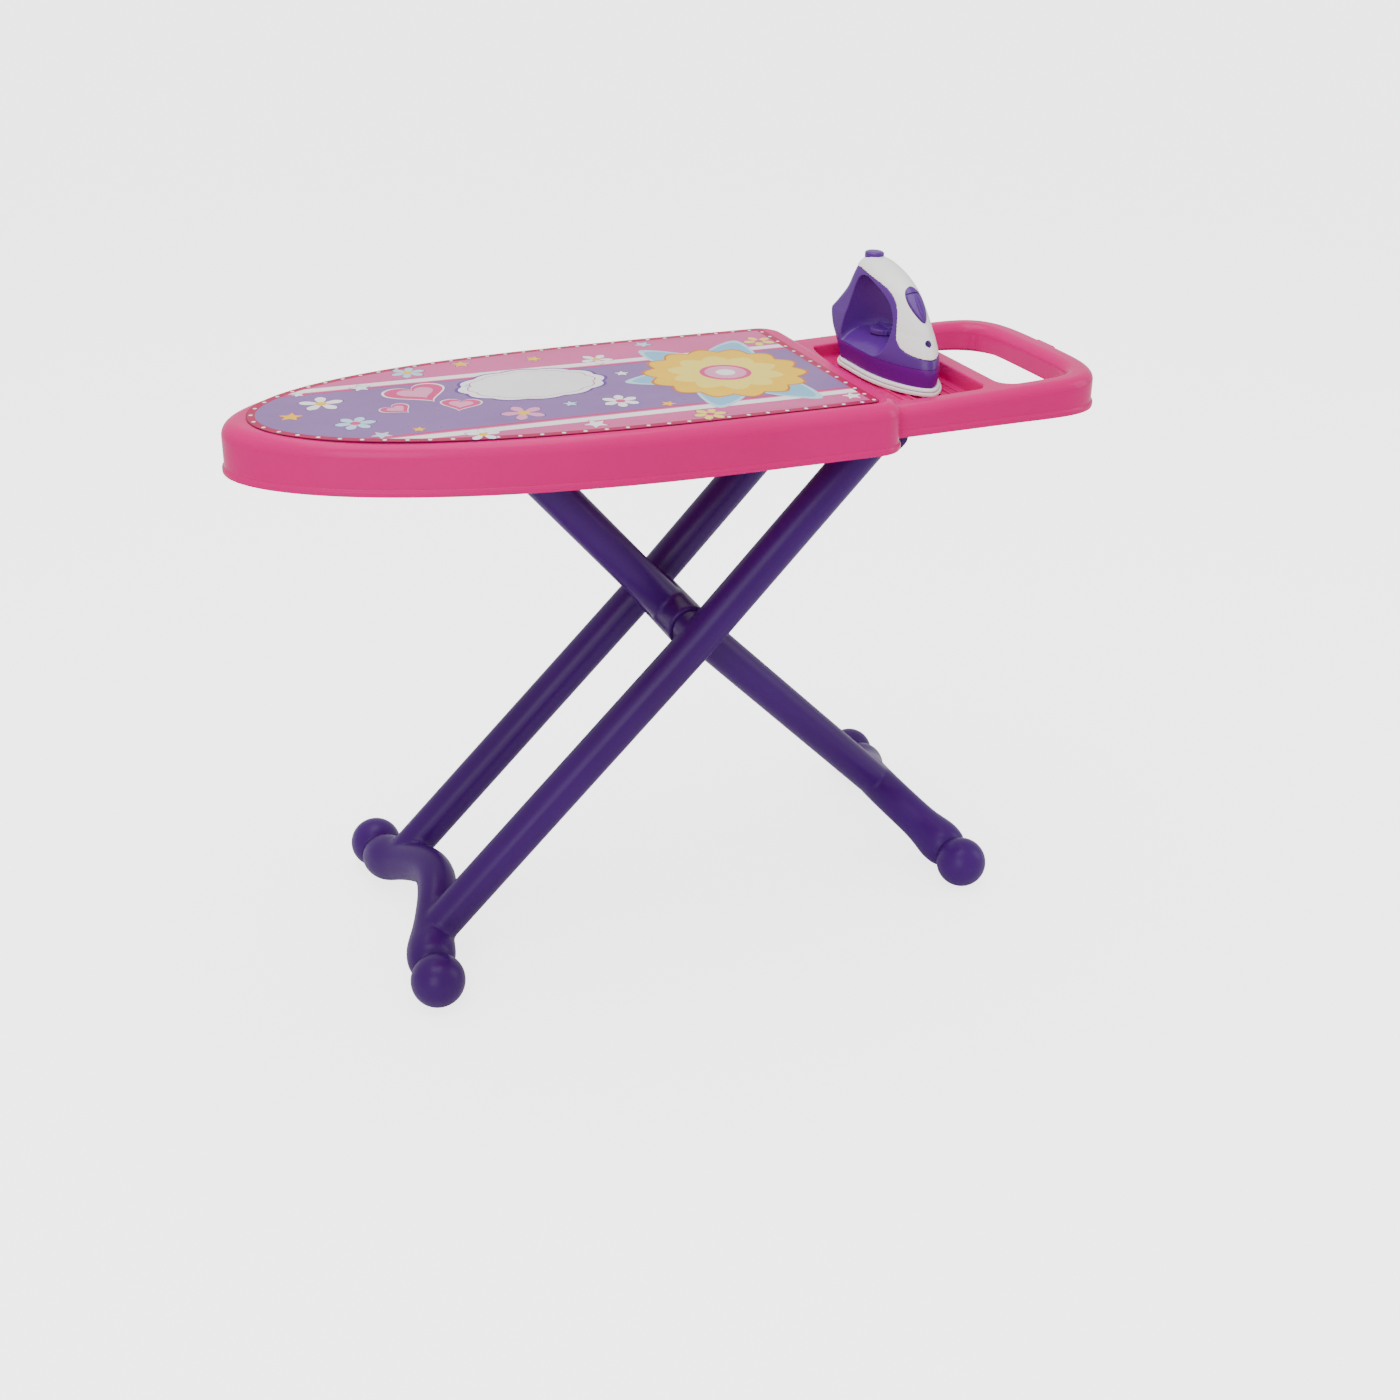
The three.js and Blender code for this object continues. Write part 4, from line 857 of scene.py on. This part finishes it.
def ball_foot(foot, side):
    """A turned ball with a seat for the foot bar, worn flat where it meets the floor."""
    profile = BALL_SEAT + [(BALL_RADIUS * math.sin(a), BALL_RADIUS * math.cos(a)) for a in (
        math.radians(d) for d in range(-43, 87, 3))] + [BALL_TIP]
    made = spun("ball", foot + ACROSS * (side * BALL_Y), [(side * t, r) for t, r in profile])
    for corner in made.data.vertices:
        corner.co.z = max(corner.co.z, 0)
    return made


finished(outer_frame(), "outer_legs", "outer_frame", "purple_plastic", PURPLE, "outer_leg_frame", angle=40)
finished(inner_leg(), "inner_leg_smooth", "inner_frame", "purple_plastic", PURPLE, "inner_leg", angle=40)
for kind, foot, body in (("outer", OUTER_FOOT, "outer_frame"), ("inner", INNER_FOOT, "inner_frame")):
    for where, side in (("front", -1), ("back", 1)):
        finished(ball_foot(foot, side), f"ball_{kind}_{where}", body, "purple_plastic", PURPLE,
                 f"ball_foot_{kind}_{where}", angle=40)


# Iron: its heel points along +Y and its nose along -Y
IRON_X = 201.5
IRON_BASE, IRON_HEIGHT = 451.5, 90
IRON_NOSE, IRON_HEEL = -69.5, 78.5
IRON_LENGTH, IRON_WIDTH = IRON_HEEL - IRON_NOSE, 63
IRON_POWERS = (2.1, 1.6)
HEEL_SHARE = 0.4                # straight-sided part of each section, of its length
SKIRT_TOP, SKIRT_BOTTOM = 472.4, 457.7
SLAB_SIDE, SLAB_LENGTH, SLAB_LOW, SLAB_HIGH = 60, 100, 440, 560    # past the iron on every side
DECK = IRON_BASE + 0.35 * IRON_HEIGHT
IRON_GAP = 0.35                 # between the housing and its cover
COVER_PROUD, COVER_WALL = 0.5, 2.2
IRON_VOXEL, IRON_ROUNDS = 0.6, 3

# Sections from the skirt up, each [height, heel's setback, nose's setback, width, heel's corners], as
# shares of the iron's height, length, length and width and of the section's half width
SECTION_SHARES = curved([
    (0.055, 0.066, 0.068, 0.86, 0.9), (0.15, 0.058, 0.064, 0.9, 0.85),
    (0.23, 0.05, 0.068, 0.93, 0.75), (0.32, 0.036, 0.085, 0.915, 0.5),
    (0.41, 0.026, 0.117, 0.87, 0.28), (0.478, 0.02, 0.143, 0.83, 0.18),
    (0.5, 0.022, 0.152, 0.8, 0.2), (0.57, 0.034, 0.176, 0.735, 0.45),
    (0.7, 0.078, 0.245, 0.64, 0.7), (0.81, 0.106, 0.33, 0.57, 0.75), (0.9, 0.128, 0.449, 0.475, 0.75),
    (0.965, 0.152, 0.59, 0.34, 0.75), (1, 0.19, 0.7, 0.17, 0.75),
], 5)

# Lower edge of the cover on the flank, from the heel to the nose, and the field above it
COVER_EDGE_SHARES = [
    (1.075, 0.883), (0.821, 0.914), (0.712, 0.9), (0.584, 0.87), (0.463, 0.822), (0.38, 0.745),
    (0.33, 0.636), (0.298, 0.506), (0.262, 0.415), (0.205, 0.36), (0.13, 0.328), (0.04, 0.312),
    (-0.14, 0.3),
]
COVER_FIELD_SHARES = [(-0.14, 1.3), (1.075, 1.3)]

# Opening under the handle: up the heel's column, forwards below the handle, down and back on the deck
OPENING_SHARES = [
    (0.79, 0.383), (0.786, 0.594), (0.768, 0.772), (0.742, 0.846), (0.69, 0.868), (0.622, 0.852),
    (0.52, 0.803), (0.42, 0.722), (0.355, 0.61), (0.329, 0.48), (0.345, 0.39), (0.42, 0.35),
    (0.6, 0.35), (0.74, 0.35),
]
OPENING_TOP_SHARE = 0.868

# How far out the opening's stations lie, of half the iron's width, and their share of the scoop
SCOOP_SHARES = curved([(0, 0), (0.3, 0.02), (0.5, 0.14), (0.7, 0.36), (0.9, 0.68), (1.15, 1)], 4)
SCOOP_DEPTH = 15.5


def iron_point(share):
    return IRON_NOSE + share[0] * IRON_LENGTH, IRON_BASE + share[1] * IRON_HEIGHT


def iron_form(grow):
    rings = []
    for up, heel_back, nose_back, width, corner in SECTION_SHARES:
        heel = IRON_HEEL - heel_back * IRON_LENGTH + grow
        nose = IRON_NOSE + nose_back * IRON_LENGTH - grow
        half = width * IRON_WIDTH / 2 + grow
        outline = bullet(nose, heel - (heel - nose) * HEEL_SHARE, heel, half, half * corner, IRON_POWERS,
                         steps=32, bends=10)
        height = IRON_BASE + up * IRON_HEIGHT + grow * up ** 4
        rings.append([(IRON_X + x, y, height) for y, x in outline])
    return skin("iron", rings)


def iron_slab(low, high):
    """A block past the iron's sides between two heights."""
    return block(IRON_X - SLAB_SIDE, IRON_X + SLAB_SIDE, -SLAB_LENGTH, SLAB_LENGTH, low, high)


def cover_field(grow):
    edge = [iron_point(p) for p in curved(COVER_EDGE_SHARES, 6) + COVER_FIELD_SHARES]
    outline = inset(list(reversed(edge)), -grow)
    return skin("prism", [[(x, y, z) for y, z in outline]
                          for x in (IRON_X - IRON_WIDTH, IRON_X + IRON_WIDTH)])


def opening_form():
    top = iron_point((0, OPENING_TOP_SHARE))[1]
    line = [iron_point(p) for p in curved(OPENING_SHARES, 5, closed=True)]
    ways = [(-out, drop) for out, drop in reversed(SCOOP_SHARES[1:])] + SCOOP_SHARES
    return skin("opening", [[(IRON_X + out * IRON_WIDTH / 2, y, z - SCOOP_DEPTH * drop
                              * max(0, (top - z) / (top - DECK)) ** 2) for y, z in line]
                            for out, drop in ways])


def ridge(y):
    """Height of the iron's ridge line at a place along it."""
    line = [(IRON_NOSE + s[2] * IRON_LENGTH, IRON_BASE + s[0] * IRON_HEIGHT) for s in SECTION_SHARES]
    for (y0, z0), (y1, z1) in zip(line, line[1:]):
        if y0 <= y <= y1:
            return z0 + (z1 - z0) * (y - y0) / (y1 - y0)
    return IRON_BASE + IRON_HEIGHT


def oval_post(y, z, tilt, size, low, high, taper=0.0):
    """An oval post of some length and width, square to a slope that leans forwards by some degrees."""
    length, width = size
    rings, c, s = [], math.cos(math.radians(tilt)), math.sin(math.radians(tilt))
    for t in (low, high):
        ring = []
        for a in turned(64):
            v = length / 2 * math.cos(a)
            u = width / 2 * math.sin(a) * (1 + taper * math.cos(a))
            ring.append((IRON_X + u, y + v * c - t * s, z + v * s + t * c))
        rings.append(ring)
    return skin("oval", rings)


# Buttons, lamp and dial: a well or a size is [length, width] of an oval
BUTTON_Y, BUTTON_Z = 50, IRON_BASE + IRON_HEIGHT
BUTTON_WELL, BUTTON_HALVES = (18.4, 16.4), (8.9, 7.9)
BUTTON_DEPTH = -5.1
BUTTON_PROFILE = [(-2.2, 1), (2.4, 1)] + [
    (2.4 + 1.5 * math.sin(a), 0.5 + 0.5 * math.cos(a)) for a in (0.3, 0.6, 0.9, 1.2, math.pi / 2)
] + [(3.97, 0.25), (3.99, 0.02)]
SWITCH_Y, SWITCH_TILT, SWITCH_TAPER = -28, 43, 0.3
SWITCH_Z = ridge(SWITCH_Y)
SWITCH_WELL, SWITCH_SIZE, SWITCH_RIDGE = (36.8, 13.6), (36.2, 13), (24, 4.2)
SWITCH_DEPTH, COVER_SWITCH_DEPTH = -9.5, -11
SWITCH_PROUD, SWITCH_RIDGE_PROUD, SWITCH_GROOVE = 2.2, 3.3, 1.2
SWITCH_REACH = 17
SWITCH_VOXEL, SWITCH_ROUNDS = 0.4, 5
RIDGE_SHIFT, GROOVE_SHIFT = (-2.6, -2.4), (7.6, 7)    # [along, up] from the switch's middle
GROOVE_SIZE, GROOVE_FIELD = (1.2, 30), (60, 40)
LAMP_Y, LAMP_TILT, LAMP_WELL = -50, 62, (5.8, 5.8)
WELL_TOP = 9
DIAL_Y = 23
STEM_RADIUS, STEM_LENGTH, STEM_DROP = 3, 5.5, 2
STEM_BORE_LENGTH, STEM_BORE_DROP = 6.6, 3
DIAL_PROFILE = ((0, 12.6), (0.3, 13), (3.6, 13), (4.2, 12.5), (4.5, 11.6), (4.5, 9.5), (4.1, 9.1), (4.1, 0.5))
KNURL_SIDES, KNURL_PITCH, KNURL_RADIUS, KNURL_DEPTH = 144, 6, 12, 0.35
GRIP_OUTLINE = [(-1.9, -9), (-1.2, -11), (1.2, -11), (1.9, -9), (1.9, 9), (1.2, 11), (-1.2, 11), (-1.9, 9)]
GRIP_LEVELS = ((1, 1, 2), (1, 1, 5.6), (0.8, 0.98, 6.2), (0.4, 0.95, 6.5))

# Base: screws [across, along], and profiles [inset, height] of the sole and of the ring round it
BASE_SCREWS = ((-15, 52), (15, 52), (-10, -18), (10, -18))
BASE_BORE, BASE_BORE_MIDDLE, BASE_BORE_LENGTH = 1.6, 466, 31
BASE_HEAD, BASE_HEAD_LENGTH = 2.7, 4
SOLE_SETBACK, SOLE_SHOULDER, SOLE_END, SOLE_HALF, SOLE_CORNER = 5.5, 12.8, 69, 31, 29
SOLE = bullet(IRON_NOSE + SOLE_SETBACK, SOLE_SHOULDER, SOLE_END, SOLE_HALF, SOLE_CORNER, IRON_POWERS,
              steps=40, bends=16)
SOLE_PROFILE = [(1, 451.5), (0.3, 451.8), (0, 452.5), (0, 453.8), (0.4, 454.3), (2.2, 454.5),
                (2.2, 455.1), (1.5, 455.3), (1.5, 456.4), (1.9, 457), (2.8, 457.5), (6.5, 457.9)]
TRIM_PROFILE = [(2, 454.2), (1.5, 454.4), (1.5, 455.2), (2, 455.4)]


def button_well(depth):
    return oval_post(BUTTON_Y, BUTTON_Z, 0, BUTTON_WELL, depth, WELL_TOP)


def switch_well(depth):
    return oval_post(SWITCH_Y, SWITCH_Z, SWITCH_TILT, SWITCH_WELL, depth, WELL_TOP, SWITCH_TAPER)


def base_posts(height, radius, length, sides):
    return [post((IRON_X + dx, y, height), radius, length, sides=sides) for dx, y in BASE_SCREWS]


def base_holes():
    return base_posts(BASE_BORE_MIDDLE, BASE_BORE, BASE_BORE_LENGTH, 16)


def iron_body():
    field = cut(cover_field(IRON_GAP), iron_form(-COVER_WALL - GAP))
    made = softened(cut(iron_form(0), field, opening_form()), IRON_VOXEL, IRON_ROUNDS)
    stem_bore = post((IRON_X, DIAL_Y, DECK - STEM_BORE_DROP), STEM_RADIUS + GAP, STEM_BORE_LENGTH)
    return cut(made, iron_slab(SLAB_LOW, SKIRT_TOP + GAP), button_well(BUTTON_DEPTH),
               switch_well(SWITCH_DEPTH), stem_bore, *base_holes())


def iron_cover():
    made = kept(iron_form(COVER_PROUD), cover_field(0))
    made = softened(cut(made, iron_form(-COVER_WALL), opening_form()), IRON_VOXEL, IRON_ROUNDS)
    lamp_well = oval_post(LAMP_Y, ridge(LAMP_Y), LAMP_TILT, LAMP_WELL, -WELL_TOP, WELL_TOP)
    return cut(made, button_well(-WELL_TOP), switch_well(COVER_SWITCH_DEPTH), lamp_well)


def iron_skirt():
    return cut(iron_form(0), iron_slab(SLAB_LOW, SKIRT_BOTTOM), iron_slab(SKIRT_TOP, SLAB_HIGH),
               *base_holes())


def steam_button():
    """A long pad with a raised ridge, and a groove across its upper end."""
    def switch_post(shift, size, taper=0.0):
        return oval_post(SWITCH_Y + shift[0], SWITCH_Z + shift[1], SWITCH_TILT, size, -SWITCH_REACH,
                         SWITCH_REACH, taper)
    pad = kept(iron_form(SWITCH_PROUD), switch_post((0, 0), SWITCH_SIZE, SWITCH_TAPER))
    raised = kept(iron_form(SWITCH_RIDGE_PROUD), switch_post(RIDGE_SHIFT, SWITCH_RIDGE))
    made = softened(joined(pad, raised), SWITCH_VOXEL, SWITCH_ROUNDS)
    above_groove = cut(switch_post((0, 0), GROOVE_FIELD), iron_form(SWITCH_GROOVE))
    made = cut(made, kept(above_groove, switch_post(GROOVE_SHIFT, GROOVE_SIZE)))
    return cut(made, iron_form(-COVER_WALL))


def spray_button():
    length, width = BUTTON_HALVES
    return skin("spray", [[
        (IRON_X + width * s * math.sin(a), BUTTON_Y + length * s * math.cos(a), BUTTON_Z + h)
        for a in turned(64)] for h, s in BUTTON_PROFILE])


def dial():
    """A knurled disc with a grip across it and a stem below."""
    centre = Vector((IRON_X, DIAL_Y, DECK + GAP))
    rings = []
    for height, radius in DIAL_PROFILE:
        ring = []
        for k, a in enumerate(turned(KNURL_SIDES)):
            knurled = radius > KNURL_RADIUS and k % KNURL_PITCH < 2
            r = radius - (KNURL_DEPTH if knurled else 0)
            ring.append(centre + Vector((r * math.cos(a), r * math.sin(a), height)))
        rings.append(ring)
    grip = skin("grip", [[centre + Vector((x * wide, y * long, z)) for x, y in GRIP_OUTLINE]
                         for wide, long, z in GRIP_LEVELS])
    stem = post(centre - Vector((0, 0, STEM_DROP)), STEM_RADIUS, STEM_LENGTH)
    return joined(skin("dial", rings), grip, stem)


def sole_layer(name, levels):
    return skin(name, [[(IRON_X - y, x, z) for x, y in inset(SOLE, d)] for d, z in levels])


def sole():
    heads = base_posts(IRON_BASE, BASE_HEAD, BASE_HEAD_LENGTH, 24)
    return cut(sole_layer("sole", SOLE_PROFILE), *heads, *base_holes())


def sole_trim():
    return cut(sole_layer("trim", TRIM_PROFILE), *base_holes())


finished(iron_body(), "iron_housing", "iron", "lilac_plastic", LILAC, "iron_body_left", "iron_body_right",
         angle=50)
finished(iron_cover(), "iron_cover", "iron", "white_plastic", WHITE, "iron_handle_cover", angle=50)
finished(iron_skirt(), "iron_skirt_smooth", "iron", "magenta_plastic", MAGENTA, "iron_skirt", angle=40)
finished(sole(), "iron_sole", "iron", "white_plastic", WHITE, "iron_sole_plate", angle=40)
finished(sole_trim(), "iron_trim", "iron", "grey_plastic", GREY, "iron_sole_trim", angle=40)
finished(steam_button(), "steam_lever", "steam_button", "lilac_plastic", LILAC, "iron_steam_button",
         angle=50)
finished(spray_button(), "spray_dome", "spray_button", "lilac_plastic", LILAC, "iron_spray_button",
         angle=50)
finished(dial(), "temperature_dial", "dial", "lilac_plastic", LILAC, "iron_dial", angle=35)


# Nodes that keep their own shape: a later row overrules an earlier one
NODE_LOOKS = (
    (PINK, ("hinge_clip", "leg_track")),
    (PURPLE, ("outer_top_bar", "inner_top_bar", "iron_nose_lamp", "pivot_washer")),
    (WHITE, ("track_slider",)),
    (GREY, ("leg_track_screw", "hinge_clip_screw", "iron_base_screw", "pivot_rod")),
)
NODE_SHARP_ANGLE = 32


def finish_nodes():
    for material, starts in NODE_LOOKS:
        for name, node in nodes.items():
            if name.startswith(starts):
                node.data.materials.clear()
                node.data.materials.append(material)
                node.data.set_sharp_from_angle(angle=math.radians(NODE_SHARP_ANGLE))


add_camera()
add_studio()
finish_nodes()
